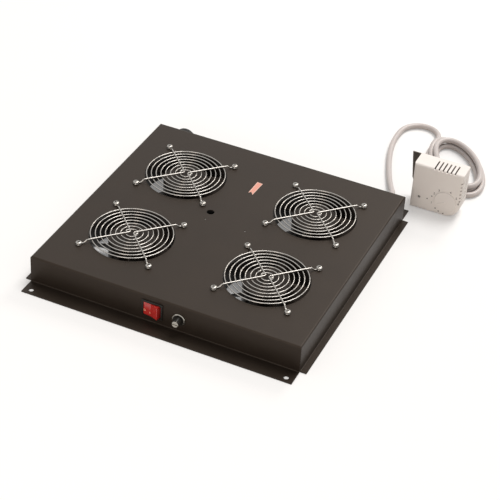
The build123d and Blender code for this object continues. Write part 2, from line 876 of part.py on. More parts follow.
dome_end = gland_hex_depth + gland_dome_depth
with BuildPart() as mains_gland_dome_nut:
    with BuildSketch(back_face.offset(-gland_hex_depth)):
        with Locations((gland_x, gland_z)):
            Circle(gland_dome_dia / 2)
    extrude(amount=-gland_dome_depth)
    fillet(mains_gland_dome_nut.faces().sort_by(Axis.Y)[-1].edges(), gland_dome_round)
    with BuildSketch(back_face.offset(-gland_hex_depth)):
        with Locations((gland_x, gland_z)):
            Circle(gland_neck_dia / 2)
    extrude(amount=-gland_neck_depth, mode=Mode.SUBTRACT)
    with BuildSketch(back_face.offset(-gland_hex_depth)):
        with Locations((gland_x, gland_z)):
            Circle(gland_dome_opening / 2)
            with PolarLocations(gland_dome_dia / 2 + gland_rib_dia / 4, gland_ribs):
                Circle(gland_rib_dia / 2)
    extrude(amount=-gland_dome_depth, mode=Mode.SUBTRACT)
save(mains_gland_dome_nut, "mains_gland_dome_nut")

with BuildPart() as mains_gland_seal:
    with BuildSketch(back_face.offset(-neck_end)):
        with Locations((gland_x, gland_z)):
            Circle(gland_bore_dia / 2)
            Circle(seal_bore_dia / 2, mode=Mode.SUBTRACT)
    extrude(amount=seal_depth)
save(mains_gland_seal, "mains_gland_seal")

# Strain relief boot, snapped into the wall by its two flanges
boot_inner = -sheet - boot_flange_depth
cord_boot = turned(
    (boot_x, half_depth, boot_z),
    1,
    [
        (boot_inner, 0),
        (boot_inner, boot_flange_dia / 2 - boot_lip),
        (-sheet, boot_flange_dia / 2),
        (-sheet, boot_neck_dia / 2),
        (0, boot_neck_dia / 2),
        (0, boot_flange_dia / 2),
        (boot_flange_depth, boot_flange_dia / 2),
        (boot_flange_depth, boot_neck_dia / 2),
        (boot_length, boot_nose_dia / 2),
        (boot_length, 0),
    ],
)
save(cord_boot, "cord_boot")

# Terminal block on the deck's underside, held by two screws from below
block_bottom = deck_under - block_height
with BuildPart() as terminal_block:
    with BuildSketch(Plane.XY.offset(block_bottom)):
        with Locations((0, block_y)):
            Rectangle(block_length, block_width)
        with Locations(*block_screws_at):
            Circle(block_screw_hole / 2 + block_screw_gap, mode=Mode.SUBTRACT)
    extrude(amount=block_height)
    with BuildSketch(Plane.XY.offset(block_bottom)):
        with Locations((0, block_y)):
            with GridLocations(pole_pitch, block_width / 2, pole_count, 2):
                Circle(pole_well_dia / 2)
            with GridLocations(pole_pitch, 0, pole_count + 1, 1):
                Rectangle(pole_slot_width, block_width)
    extrude(amount=pole_well_depth, mode=Mode.SUBTRACT)
save(terminal_block, "terminal_block")

with BuildPart() as block_screws:
    with BuildSketch(Plane.XY.offset(block_bottom - block_screw_head_height)):
        with Locations(*block_screws_at):
            Circle(block_screw_head_dia / 2)
    extrude(amount=block_screw_head_height)
    with BuildSketch(Plane.XY.offset(block_bottom)):
        with Locations(*block_screws_at):
            Circle(block_screw_hole / 2 - block_screw_gap)
    extrude(amount=body_height - block_screw_recess - block_bottom)
save(block_screws, "block_screws")

# Inner leads: one from each fan, and from the switch, the fuse, the boot and the earth stud to the block
block_front = block_y - block_width / 2
block_back = block_y + block_width / 2
lead_box_end = fan_pitch_x / 2 - fan_size / 2 - lead_box_length
fuse_back = -half_depth + fuse_barrel_length
switch_back = -half_depth + switch_body_depth
inner_routes = [
    [
        (side * lead_box_end, end * fan_pitch_y / 2, lead_z),
        (side * pole_xs[-1], end * fan_pitch_y / 2, lead_z),
        (side * pole_xs[-1], block_y + end * block_width / 2, lead_z),
    ]
    for side in (-1, 1)
    for end in (-1, 1)
]
inner_routes += [
    [
        (switch_x, switch_back, switch_z),
        (switch_x, switch_back + switch_lead_straight, switch_z),
        (pole_xs[1], switch_back + lead_level_distance, lead_z),
        (pole_xs[1], block_front, lead_z),
    ],
    [
        (fuse_x, fuse_back, fuse_z),
        (fuse_x, fuse_back + fuse_lead_straight, fuse_z),
        (pole_xs[2], fuse_back + lead_level_distance, lead_z),
        (pole_xs[2], block_front, lead_z),
    ],
    [
        (boot_x, half_depth + boot_inner, boot_z),
        (boot_x, half_depth - boot_lead_straight, boot_z),
        (boot_x - back_lead_start, half_depth - back_lead_inset, lead_z),
        (pole_xs[2] + back_lead_turn_x, half_depth - back_lead_inset + back_lead_slope, lead_z),
        (pole_xs[2], half_depth - back_lead_turn_y, lead_z),
        (pole_xs[2], block_back, lead_z),
    ],
]
inner_leads_made = [tube(points, lead_dia)[0].part for points in inner_routes]
earth_nut_face = earth_stud_y - earth_nut_width / 2
with BuildPart() as inner_leads:
    add(inner_leads_made)
    with BuildSketch(Plane.XZ.offset(-block_back)):
        with Locations((pole_xs[1], lead_z)):
            Circle(lead_dia / 2)
    extrude(amount=-(earth_nut_face - block_back))
save(inner_leads, "inner_leads")

with BuildPart() as earth_stud:
    with BuildSketch(Plane.XY.offset(deck_under)):
        with Locations((pole_xs[1], earth_stud_y)):
            Circle(earth_stud_dia / 2)
    extrude(amount=-earth_stud_length)
    with BuildSketch(Plane.XY.offset(lead_z - earth_nut_height / 2)):
        with Locations((pole_xs[1], earth_stud_y)):
            Rectangle(earth_nut_width, earth_nut_width)
    extrude(amount=earth_nut_height)
save(earth_stud, "earth_stud")

# Saddle clips that hold the long leads against the deck
clip_depth = lead_drop + lead_dia / 2 + clip_floor
middle_pair_width = pole_xs[2] - pole_xs[1] + lead_dia + 2 * clip_margin
with BuildPart() as lead_clips:
    with BuildSketch(Plane.XY.offset(deck_under)):
        with Locations(*[(0, y) for y in pair_clip_ys]):
            Rectangle(middle_pair_width, clip_length)
        with Locations((pole_xs[2], single_clip_y)):
            Rectangle(lead_dia + 2 * clip_margin, clip_length)
    extrude(amount=-clip_depth)
    add(inner_leads_made, mode=Mode.SUBTRACT)
save(lead_clips, "lead_clips")

# Thermostat: cover, base and plate share an outline with one large corner round the dial
thermo_back = thermo_front + thermo_depth
thermo_right = thermo_left + thermo_width
thermo_middle_x = thermo_left + thermo_width / 2
dial_centre_x = thermo_left + dial_x
thermo_front_face = Plane.XZ.offset(-thermo_front)
thermo_back_face = Plane.XZ.offset(-thermo_back)
with BuildPart() as thermostat_cover:
    with BuildSketch(thermo_back_face):
        with Locations((thermo_middle_x, thermo_height / 2)):
            outline = Rectangle(thermo_width, thermo_height)
        corners = outline.vertices().sort_by(lambda corner: corner.X - corner.Y)
        fillet(corners[-1], thermo_dial_corner)
        fillet(corners[:-1], thermo_corner)
    extrude(amount=thermo_depth)
    fillet(thermostat_cover.faces().sort_by(Axis.Y)[0].edges(), thermo_edge)
    offset(amount=-thermo_wall, openings=thermostat_cover.faces().sort_by(Axis.Y)[-1])
    with BuildSketch(thermo_front_face.offset(vent_overrun)):
        with Locations((thermo_right - vent_from_corner, thermo_height)):
            for i in range(vent_count):
                with Locations((-i * vent_pitch, 0)):
                    Rectangle(vent_width, 2 * vent_bite)
        with Locations((thermo_right, thermo_height - vent_from_corner)):
            for i in range(vent_count):
                with Locations((0, -i * vent_pitch)):
                    Rectangle(2 * vent_bite, vent_width)
        with Locations((thermo_left + notch_from_left, 0)):
            for i in range(vent_count):
                with Locations((i * vent_pitch, 0)):
                    Rectangle(vent_width, 2 * vent_bite)
    extrude(amount=-(vent_reach + vent_overrun), mode=Mode.SUBTRACT)
    with BuildSketch(thermo_front_face):
        with Locations((dial_centre_x, dial_z)):
            Circle(spindle_dia / 2 + spindle_fit)
        with Locations((thermo_left + cover_screw_x, cover_screw_z)):
            Circle(cover_screw_shank / 2 + cutout_gap)
    extrude(amount=-2 * thermo_wall, mode=Mode.SUBTRACT)
    with BuildSketch(thermo_front_face):
        with Locations((thermo_left + cover_screw_x, cover_screw_z)):
            Circle(cover_screw_hole / 2)
    extrude(amount=-cover_screw_seat, mode=Mode.SUBTRACT)
save(thermostat_cover, "thermostat_cover")

base_front = thermo_back - base_thickness
cover_inside = thermo_front + thermo_wall
inset = thermo_wall + base_gap
with BuildPart() as thermostat_base:
    with BuildSketch(thermo_back_face):
        with Locations((thermo_middle_x, thermo_height / 2)):
            outline = Rectangle(thermo_width - 2 * inset, thermo_height - 2 * inset)
        corners = outline.vertices().sort_by(lambda corner: corner.X - corner.Y)
        fillet(corners[-1], thermo_dial_corner - inset)
        fillet(corners[:-1], thermo_corner - thermo_wall)
    extrude(amount=base_thickness)
    with BuildSketch(Plane.XZ.offset(-base_front)):
        with Locations((thermo_left + cover_screw_x, cover_screw_z)):
            Circle(cover_post_dia / 2)
    extrude(amount=base_front - cover_inside - base_gap)
    with BuildSketch(Plane.XZ.offset(-cover_inside)):
        with Locations((thermo_left + cover_screw_x, cover_screw_z)):
            Circle(cover_screw_shank / 2)
    extrude(amount=-(base_front - cover_inside), mode=Mode.SUBTRACT)
    with BuildSketch(Plane.XZ.offset(-base_front)):
        with Locations((thermo_left + 2 * inset + bimetal_post_width, thermo_height - plate_screw_inset)):
            Rectangle(bimetal_post_width, bimetal_width)
    extrude(amount=bimetal_post_depth)
save(thermostat_base, "thermostat_base")

cover_screw_top = thermo_front + cover_screw_recess
with BuildPart() as thermostat_cover_screw:
    with BuildSketch(Plane.XZ.offset(-cover_screw_top)):
        with Locations((thermo_left + cover_screw_x, cover_screw_z)):
            Circle(cover_screw_head / 2)
    extrude(amount=-(cover_screw_seat - cover_screw_recess))
    with BuildSketch(Plane.XZ.offset(-cover_screw_top)):
        with Locations((thermo_left + cover_screw_x, cover_screw_z)):
            Circle(cover_screw_shank / 2)
    extrude(amount=-(base_front - cover_screw_top))
    with BuildSketch(Plane.XZ.offset(-cover_screw_top)):
        with Locations((thermo_left + cover_screw_x, cover_screw_z)):
            Rectangle(cover_screw_head, cover_screw_slot)
    extrude(amount=-cover_screw_slot, mode=Mode.SUBTRACT)
save(thermostat_cover_screw, "thermostat_cover_screw")

# Dial with its pointer, and the spindle that turns in the snap switch's bush
dial_back = thermo_front - body_gap
dial_front = dial_back - dial_depth
with BuildPart() as thermostat_dial:
    with BuildSketch(Plane.XZ.offset(-dial_back)):
        with Locations((dial_centre_x, dial_z)):
            Circle(dial_dia / 2)
    extrude(amount=dial_depth)
    chamfer(thermostat_dial.faces().sort_by(Axis.Y)[0].edges(), dial_edge)
    with BuildSketch(Plane.XZ.offset(-dial_front)):
        with Locations(Location((dial_centre_x, dial_z), pointer_turn)):
            with Locations((pointer_length / 2, 0)):
                SlotOverall(pointer_length, pointer_width)
    extrude(amount=pointer_rise, taper=pointer_taper)
save(thermostat_dial, "thermostat_dial")

snap_front = base_front - snap_switch_depth
with BuildPart() as thermostat_spindle:
    with BuildSketch(Plane.XZ.offset(-dial_back)):
        with Locations((dial_centre_x, dial_z)):
            Circle(spindle_dia / 2)
    extrude(amount=-(snap_front + bush_depth - dial_back))
save(thermostat_spindle, "thermostat_spindle")

with BuildPart() as thermostat_switch:
    with BuildSketch(Plane.XZ.offset(-base_front)):
        with Locations((dial_centre_x, dial_z)):
            Rectangle(snap_switch_width, snap_switch_height)
    extrude(amount=snap_switch_depth)
    fillet(thermostat_switch.edges().filter_by(Axis.Y), snap_switch_round)
    with BuildSketch(Plane.XZ.offset(-snap_front)):
        with Locations((dial_centre_x, dial_z)):
            Circle(spindle_dia / 2 + spindle_fit)
    extrude(amount=-(bush_depth + body_gap), mode=Mode.SUBTRACT)
save(thermostat_switch, "thermostat_switch")

with BuildPart() as thermostat_bimetal:
    with BuildSketch(Plane.XZ.offset(-(base_front - bimetal_post_depth))):
        with Locations(
            (thermo_left + 2 * inset + bimetal_post_width / 2 + bimetal_length / 2, thermo_height - plate_screw_inset)
        ):
            Rectangle(bimetal_length, bimetal_width)
    extrude(amount=bimetal_thickness)
save(thermostat_bimetal, "thermostat_bimetal")

# Plate behind the base: its wing sticks out at the left, and the cord enters through its bush
plate_left = thermo_left - plate_wing
plate_right = thermo_right - plate_right_inset
plate_back = thermo_back + plate_thickness
plate_screws_at = [
    (thermo_left + plate_screw_inset, thermo_height / 2),
    (thermo_right - plate_screw_inset, thermo_height - plate_screw_inset),
]
bush_x = thermo_left + cord_bush_x
with BuildPart() as thermostat_plate:
    with BuildSketch(Plane.XZ.offset(-plate_back)):
        with BuildLine():
            Polyline(
                (plate_left, plate_height),
                (plate_right, plate_height),
                (plate_right, thermo_dial_corner),
                (plate_right - thermo_dial_corner, 0),
                (thermo_left + plate_taper, 0),
                (plate_left + plate_taper, plate_taper_from),
                close=True,
            )
        make_face()
        with Locations(*plate_screws_at):
            Circle(plate_screw_dia / 2, mode=Mode.SUBTRACT)
        with Locations((bush_x, cord_bush_z)):
            Circle(cord_bush_hole_dia / 2, mode=Mode.SUBTRACT)
    extrude(amount=plate_thickness)
save(thermostat_plate, "thermostat_plate")

with BuildPart() as plate_screws:
    with BuildSketch(Plane.XZ.offset(-plate_back)):
        with Locations(*plate_screws_at):
            Circle(plate_screw_head_dia / 2)
    extrude(amount=-plate_screw_head_height)
    with BuildSketch(Plane.XZ.offset(-plate_back)):
        with Locations(*plate_screws_at):
            Circle(plate_screw_dia / 2)
    extrude(amount=plate_thickness)
save(plate_screws, "plate_screws")

with BuildPart() as cord_bush:
    with BuildSketch(Plane.XZ.offset(-thermo_back)):
        with Locations((bush_x, cord_bush_z)):
            Circle(cord_bush_hole_dia / 2)
    extrude(amount=-plate_thickness)
    with BuildSketch(Plane.XZ.offset(-plate_back)):
        with Locations((bush_x, cord_bush_z)):
            Circle(cord_bush_flange_dia / 2)
    extrude(amount=-cord_bush_length)
    chamfer(cord_bush.faces().sort_by(Axis.Y)[-1].edges(), cord_bush_chamfer)
save(cord_bush, "cord_bush")

# Thermostat cord: the lead to the coil, the coil, and the tail from the coil into the bush
boot_end = half_depth + boot_length
lead_route = [(boot_x, boot_end, boot_z), (boot_x, boot_end + lead_run_out, boot_z)]
lead_route += [(half_width + x, half_depth + y, z) for x, y, z in lead_steps]
bush_end = plate_back + cord_bush_length
tail_route = [(half_width + x, half_depth + y, z) for x, y, z in tail_steps]
tail_route += [(bush_x, bush_end + tail_run_in, cord_bush_z), (bush_x, bush_end, cord_bush_z)]
cord_lead, lead_length = tube(lead_route, cord_dia)
save(cord_lead, "cord_lead")

cord_tail, tail_length = tube(tail_route, cord_dia)
save(cord_tail, "cord_tail")

coil_plane = Plane(
    origin=(half_width + coil_right, half_depth + coil_back, 0),
    x_dir=(cos(radians(coil_lean)), sin(radians(coil_lean)), 0),
)
with BuildPart() as cord_coil:
    with BuildSketch(coil_plane):
        Ellipse(coil_outer_half_width + cord_dia / 2, coil_outer_half_length + cord_dia / 2)
        Ellipse(
            coil_inner_half_width - cord_dia / 2, coil_inner_half_length - cord_dia / 2, mode=Mode.SUBTRACT
        )
    extrude(amount=coil_height)
    fillet(cord_coil.faces().sort_by(Axis.Z)[-1].edges(), coil_round)
    add((cord_lead.part, cord_tail.part), mode=Mode.SUBTRACT)
save(cord_coil, "cord_coil")

for name, route, piece, length in (
    ("lead", lead_route, cord_lead, lead_length),
    ("tail", tail_route, cord_tail, tail_length),
):
    section = pi * cord_dia**2 / 4
    print(name, "radii", [round(radius, 1) for radius in corner_radii(route)])
    print(name, "volume over section times length", round(piece.part.volume / (section * length), 4))
print("blade pitch at tip", round(degrees(atan2(blade_height, blade_tip_width)), 1))
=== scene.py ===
"""Looks of the rack fan tray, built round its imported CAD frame.

Every length is in metres in the frame of the CAD model: +X right, +Y back, +Z up, with the origin in the
middle of the four flange bolts. MM turns a size in millimetres into metres.
"""

import logging
import math
from dataclasses import dataclass
from enum import Enum
from typing import Any

import bmesh
import bpy
from mathutils import Matrix, Vector


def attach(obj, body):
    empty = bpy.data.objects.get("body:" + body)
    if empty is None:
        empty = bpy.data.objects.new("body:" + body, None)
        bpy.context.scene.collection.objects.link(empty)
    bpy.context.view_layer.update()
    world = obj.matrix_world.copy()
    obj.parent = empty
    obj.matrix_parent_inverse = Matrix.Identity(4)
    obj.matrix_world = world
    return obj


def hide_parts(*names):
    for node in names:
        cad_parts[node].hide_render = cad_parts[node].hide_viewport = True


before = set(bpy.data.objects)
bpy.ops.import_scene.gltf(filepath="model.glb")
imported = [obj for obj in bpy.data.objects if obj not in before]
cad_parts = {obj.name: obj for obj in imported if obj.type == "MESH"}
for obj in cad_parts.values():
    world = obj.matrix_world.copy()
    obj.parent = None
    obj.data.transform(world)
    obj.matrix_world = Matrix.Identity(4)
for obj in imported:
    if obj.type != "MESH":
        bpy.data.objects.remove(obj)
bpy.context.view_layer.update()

MM = 0.001
TRAY = "tray"
LOG = logging.getLogger("fan_tray")
WHITE = "ffffff"
# Detail of the noise textures, and the part of their range that most of a surface falls in
PATCH_DETAIL = 4.0
GRAIN_DETAIL = 2.0
PATCH_RANGE = (0.3, 0.7)
# Shader settings of every bare metal
BARE_METAL = (("Metallic", 1.0),)


class FanPlace(Enum):
    """The four fans, each with the centre of its opening in millimetres."""

    FRONT_LEFT = (-100.0, -81.5)
    FRONT_RIGHT = (100.0, -81.5)
    BACK_LEFT = (-100.0, 81.5)
    BACK_RIGHT = (100.0, 81.5)

    @property
    def label(self) -> str:
        """The fan's part of the node names."""
        return self.name.lower()


def linear(colour: str) -> tuple[float, float, float, float]:
    """Turn an sRGB hex colour into linear light.

    Args:
        colour: Six hex digits.

    Returns:
        Red, green, blue and an alpha of 1, as shaders take them.
    """
    channels = [int(colour[i : i + 2], 16) / 255 for i in (0, 2, 4)]
    light = [c / 12.92 if c <= 0.04045 else ((c + 0.055) / 1.055) ** 2.4 for c in channels]
    return (*light, 1.0)


def add_node(
    tree: bpy.types.NodeTree, kind: str, sockets: dict[str | int, Any] | None = None, **settings: Any
) -> bpy.types.Node:
    """Add one node with its settings and links.

    Args:
        tree: Node tree that takes the node.
        kind: Blender's name of the node type.
        sockets: For each input, a plain value or the output socket that feeds it.
        settings: Properties of the node itself.

    Returns:
        The new node.
    """
    node = tree.nodes.new(kind)
    for name, value in settings.items():
        setattr(node, name, value)
    for name, value in (sockets or {}).items():
        if isinstance(value, bpy.types.NodeSocket):
            tree.links.new(value, node.inputs[name])
        else:
            node.inputs[name].default_value = value
    return node


def empty_material(name: str) -> tuple[bpy.types.Material, bpy.types.NodeTree]:
    """Make a material with nothing in its node tree.

    Args:
        name: Name of the material.

    Returns:
        The material and its tree.
    """
    material = bpy.data.materials.new(name)
    material.use_nodes = True
    material.node_tree.nodes.clear()
    return material, material.node_tree


def seeing_ray(tree: bpy.types.NodeTree) -> bpy.types.NodeSocket:
    """Tell the rays that show a surface, straight or in metal and glass, from those that only light.

    Args:
        tree: Node tree that takes the nodes.

    Returns:
        A socket that is 1 for camera, glossy and transmission rays and otherwise 0.
    """
    path = add_node(tree, "ShaderNodeLightPath")
    seeing = path.outputs["Is Camera Ray"]
    for ray in ("Is Glossy Ray", "Is Transmission Ray"):
        either = add_node(tree, "ShaderNodeMath", {0: seeing, 1: path.outputs[ray]}, operation="MAXIMUM")
        seeing = either.outputs["Value"]
    return seeing


@dataclass(frozen=True)
class Finish:
    """A surface with patches of a second colour, uneven gloss and a fine relief.

    Attributes:
        name: Common name of the material and how its surface was made.
        colour: sRGB hex of the surface.
        patch_colour: sRGB hex of its patches.
        patch_mm: Size of a patch.
        grain_mm: Size of a grain of the relief.
        grain_height_mm: Height of that relief.
        roughness: Mean roughness.
        roughness_swing: How far the roughness departs from its mean.
        settings: Further sockets of the shader, each the same all over.
        stretch: Stretch of the grains along X, Y and Z, above 1 for a finer grain.
    """

    name: str
    colour: str
    patch_colour: str
    patch_mm: float
    grain_mm: float
    grain_height_mm: float
    roughness: float
    roughness_swing: float
    settings: tuple[tuple[str, Any], ...] = ()
    stretch: tuple[float, float, float] = (1.0, 1.0, 1.0)

    def make(self) -> bpy.types.Material:
        """Build the material.

        Returns:
            The material.
        """
        material, tree = empty_material(self.name)
        place = add_node(tree, "ShaderNodeTexCoord")
        stretched = add_node(
            tree, "ShaderNodeMapping", {"Vector": place.outputs["Object"], "Scale": self.stretch}
        )
        patches = add_node(
            tree,
            "ShaderNodeTexNoise",
            {
                "Vector": place.outputs["Object"],
                "Scale": 1 / (self.patch_mm * MM),
                "Detail": PATCH_DETAIL,
            },
        )
        grains = add_node(
            tree,
            "ShaderNodeTexNoise",
            {
                "Vector": stretched.outputs["Vector"],
                "Scale": 1 / (self.grain_mm * MM),
                "Detail": GRAIN_DETAIL,
            },
        )
        tint = add_node(
            tree,
            "ShaderNodeMix",
            {"Factor": patches.outputs["Fac"], "A": linear(self.colour), "B": linear(self.patch_colour)},
            data_type="RGBA",
        )
        gloss = add_node(
            tree,
            "ShaderNodeMapRange",
            {
                "Value": patches.outputs["Fac"],
                "From Min": PATCH_RANGE[0],
                "From Max": PATCH_RANGE[1],
                "To Min": self.roughness - self.roughness_swing,
                "To Max": self.roughness + self.roughness_swing,
            },
        )
        relief = add_node(
            tree,
            "ShaderNodeBump",
            {"Height": grains.outputs["Fac"], "Distance": self.grain_height_mm * MM, "Strength": 1.0},
        )
        shader = add_node(
            tree,
            "ShaderNodeBsdfPrincipled",
            {
                "Base Color": tint.outputs["Result"],
                "Roughness": gloss.outputs["Result"],
                "Normal": relief.outputs["Normal"],
                **dict(self.settings),
            },
        )
        add_node(tree, "ShaderNodeOutputMaterial", {"Surface": shader.outputs["BSDF"]})
        return material


@dataclass(frozen=True)
class Backdrop:
    """Matte white studio paper that the camera sees brighter than it lights the object.

    Attributes:
        name: Common name of the material.
        colour: sRGB hex of the paper as the camera sees it.
        bounce_colour: sRGB hex of the paper as it lights the object.
        lift: Share of plain white that the camera sees in it.
        grains_per_metre: Scale of the paper's grain.
        grain_height_mm: Height of that grain.
    """

    name: str
    colour: str
    bounce_colour: str
    lift: float
    grains_per_metre: float = 900.0
    grain_height_mm: float = 0.02

    def make(self) -> bpy.types.Material:
        """Build the material, which keeps the object's shadow in its own share.

        Returns:
            The material.
        """
        material, tree = empty_material(self.name)
        seeing = seeing_ray(tree)
        grains = add_node(
            tree, "ShaderNodeTexNoise", {"Scale": self.grains_per_metre, "Detail": GRAIN_DETAIL}
        )
        relief = add_node(
            tree,
            "ShaderNodeBump",
            {"Height": grains.outputs["Fac"], "Distance": self.grain_height_mm * MM},
        )
        seen = add_node(
            tree,
            "ShaderNodeMix",
            {"Factor": seeing, "A": linear(self.bounce_colour), "B": linear(self.colour)},
            data_type="RGBA",
        )
        paper = add_node(
            tree,
            "ShaderNodeBsdfDiffuse",
            {"Color": seen.outputs["Result"], "Normal": relief.outputs["Normal"]},
        )
        white = add_node(tree, "ShaderNodeEmission", {"Color": linear(WHITE), "Strength": 1.0})
        share = add_node(tree, "ShaderNodeMath", {0: seeing, 1: self.lift}, operation="MULTIPLY")
        both = add_node(
            tree,
            "ShaderNodeMixShader",
            {0: share.outputs["Value"], 1: paper.outputs["BSDF"], 2: white.outputs["Emission"]},
        )
        add_node(tree, "ShaderNodeOutputMaterial", {"Surface": both.outputs["Shader"]})
        return material


# Each row gives two colours, the sizes of a patch and a grain and the grain's height in millimetres, and the
# roughness with its swing.

# Polyester powder coat, sprayed and baked: a warm black with a fine sand texture and a soft satin sheen
POWDER_COAT = Finish(
    "powder coated steel", "231d18", "2a231d", 45, 0.9, 0.05, 0.42, 0.03,
    (("Specular IOR Level", 0.27), ("Specular Tint", linear("ffecdc"))),
)
# Bright zinc plated wire, drawn and welded: mirror-like with slight unevenness
PLATED_WIRE = Finish(
    "bright plated wire", "b3afa9", "a5a19b", 9, 2.5, 0.002, 0.2, 0.03, BARE_METAL
)
# Zinc plated screw heads, a little duller than the wire
PLATED_SCREW = Finish(
    "zinc plated screw", "aeaaa4", "96928c", 3, 0.9, 0.005, 0.17, 0.05, BARE_METAL
)
# Ground bearing steel, with its marks round the shaft
GROUND_STEEL = Finish(
    "ground steel", "b9b8b4", "a3a29e", 5, 0.3, 0.006, 0.25, 0.05, BARE_METAL, (1.0, 1.0, 12.0)
)
# Stacked motor laminations with varnish, dull and dark with fine level lines
LAMINATION = Finish(
    "varnished laminations", "4a433d", "2f2a27", 8, 0.8, 0.12, 0.45, 0.1,
    (("Metallic", 0.7),), (0.2, 0.2, 1.0),
)
# Die-cast aluminium fan frame under black paint
FAN_PAINT = Finish(
    "black painted casting", "1c1815", "26211d", 20, 1.2, 0.06, 0.42, 0.06,
    (("Specular IOR Level", 0.2),),
)
# Glass filled polyamide fan blades, injection moulded, smooth enough to catch a long highlight
BLADE_PLASTIC = Finish(
    "moulded black polyamide", "1f1a16", "28221d", 25, 1.5, 0.02, 0.3, 0.05,
    (("Specular IOR Level", 0.22), ("Specular Tint", linear("ffeee2"))),
)
# Switch bezel, fuse holder and snap switch in black polycarbonate, satin from the mould
BLACK_PLASTIC = Finish(
    "moulded black polycarbonate", "1b1916", "24211d", 12, 0.6, 0.02, 0.36, 0.05,
    (("Specular IOR Level", 0.25),),
)
# Rocker in translucent red polycarbonate, polished in the mould
RED_PLASTIC = Finish(
    "polished red polycarbonate", "b3211f", "c93a33", 9, 2.0, 0.01, 0.2, 0.04,
    (("Subsurface Weight", 0.25), ("Subsurface Radius", (0.004, 0.001, 0.001)), ("Coat Weight", 0.4)),
)
# Nickel plated brass: a warm mirror, as on the fuse cap's end and the terminals
NICKEL = Finish(
    "nickel plated brass", "b0aba2", "9a958c", 4, 0.5, 0.006, 0.18, 0.05, BARE_METAL
)
# Polyamide of the cable gland, matte from the mould
GLAND_PLASTIC = Finish(
    "moulded matte polyamide", "1b1a19", "262422", 10, 0.7, 0.04, 0.55, 0.05,
    (("Specular IOR Level", 0.25),),
)
# Nitrile rubber of the seal, the boot and the bush
RUBBER = Finish("moulded nitrile rubber", "171615", "211f1e", 8, 0.5, 0.04, 0.7, 0.06)
# Natural polyamide of the terminal block and the clips, slightly yellow
WHITE_POLYAMIDE = Finish(
    "natural polyamide", "d8d2c2", "cbc4b2", 12, 0.8, 0.03, 0.45, 0.05,
    (("Subsurface Weight", 0.1), ("Subsurface Radius", (0.002, 0.0015, 0.001))),
)
# Black sleeve of the leads inside
LEAD_SLEEVE = Finish("extruded black sleeve", "191818", "232221", 15, 0.6, 0.02, 0.45, 0.06)
# Light grey PVC jacket of the thermostat cord, extruded, with the sheen of soft plastic
CORD_JACKET = Finish(
    "extruded grey jacket", "ccc4c1", "c3bbb8", 30, 1.2, 0.02, 0.34, 0.04,
    (("Subsurface Weight", 0.08), ("Subsurface Radius", (0.003, 0.002, 0.0015))),
)
# Passivated steel plate behind the thermostat, dark and slightly brushed
DARK_STEEL = Finish(
    "passivated steel plate", "7f776f", "6d665f", 14, 0.5, 0.02, 0.38, 0.06,
    (("Metallic", 0.85),), (1.0, 1.0, 8.0),
)
# ABS of the thermostat, spark-eroded mould: an even matte cream
CREAM_ABS = Finish("moulded cream plastic", "f1ece8", "ebe5e0", 25, 0.5, 0.025, 0.5, 0.05)
# Pad printed ink on the thermostat, dark and a little raised
DARK_PRINT = Finish("dark printed ink", "29221f", "352d29", 3, 0.4, 0.004, 0.5, 0.05)
# Pad printed ink on the switch, pale orange over the red
PALE_PRINT = Finish("pale printed ink", "e9b894", "e2a884", 3, 0.4, 0.004, 0.45, 0.05)
# Coral paper of the blank label, and the paler border round it
CORAL_PAPER = Finish("coral paper", "d98f7d", "e6a896", 2.5, 0.4, 0.02, 0.6, 0.05)
LABEL_BORDER = Finish("pale paper edge", "efcabb", "e9bdae", 3, 0.4, 0.01, 0.55, 0.05)
# Clear glass of the fuse link
FUSE_GLASS = Finish(
    "clear fuse glass", "f4f8f6", "eef4f1", 5, 2.0, 0.002, 0.04, 0.01, (("Transmission Weight", 1.0),)
)
# Matte white paper of the floor, which bounces a warmer light than the camera sees in it
STUDIO_PAPER = Backdrop("studio paper", "fafafa", "cfc9c3", 0.2)


class Wardrobe:
    """Makes each finish once and puts it on pieces."""

    def __init__(self) -> None:
        """Start with no material made."""
        self.made: dict[str, bpy.types.Material] = {}

    def material(self, finish: Finish | Backdrop) -> bpy.types.Material:
        """The finish's material, made at its first use.

        Args:
            finish: Finish to look up.

        Returns:
            Its material.
        """
        if finish.name not in self.made:
            self.made[finish.name] = finish.make()
        return self.made[finish.name]

    def dress(self, finish: Finish, *nodes: str) -> None:
        """Put one finish on CAD nodes that keep their shape.

        Args:
            finish: Finish to put on.
            nodes: Names of the nodes.
        """
        for name in nodes:
            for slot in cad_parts[name].material_slots:
                slot.link = "OBJECT"
                slot.material = self.material(finish)
        LOG.info("%s: %s", finish.name, ", ".join(nodes))


WARDROBE = Wardrobe()


def place_piece(
    name: str, data: bpy.types.ID, finish: Finish, body: str = TRAY, replaced: tuple[str, ...] = ()
) -> bpy.types.Object:
    """Put a finished piece in the scene, on its body.

    Args:
        name: Name of the piece.
        data: Its mesh or curve, in the frame of the CAD model.
        finish: Its finish.
        body: CAD body that carries it.
        replaced: CAD nodes that it stands for.

    Returns:
        The piece.
    """
    piece = bpy.data.objects.new(name, data)
    bpy.context.scene.collection.objects.link(piece)
    data.materials.append(WARDROBE.material(finish))
    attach(piece, body)
    if replaced:
        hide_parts(*replaced)
    LOG.info("piece %s on %s", name, body)
    return piece


def mesh_from(name: str, shape: bmesh.types.BMesh, smooth: bool = True) -> bpy.types.Mesh:
    """Turn a bmesh into a mesh with its outside facing out.

    Args:
        name: Name of the mesh.
        shape: Shape to write, which is freed.
        smooth: True to shade its faces smooth.

    Returns:
        The mesh.
    """
    bmesh.ops.recalc_face_normals(shape, faces=shape.faces)
    mesh = bpy.data.meshes.new(name)
    shape.to_mesh(mesh)
    shape.free()
    mesh.shade_smooth() if smooth else mesh.shade_flat()
    return mesh


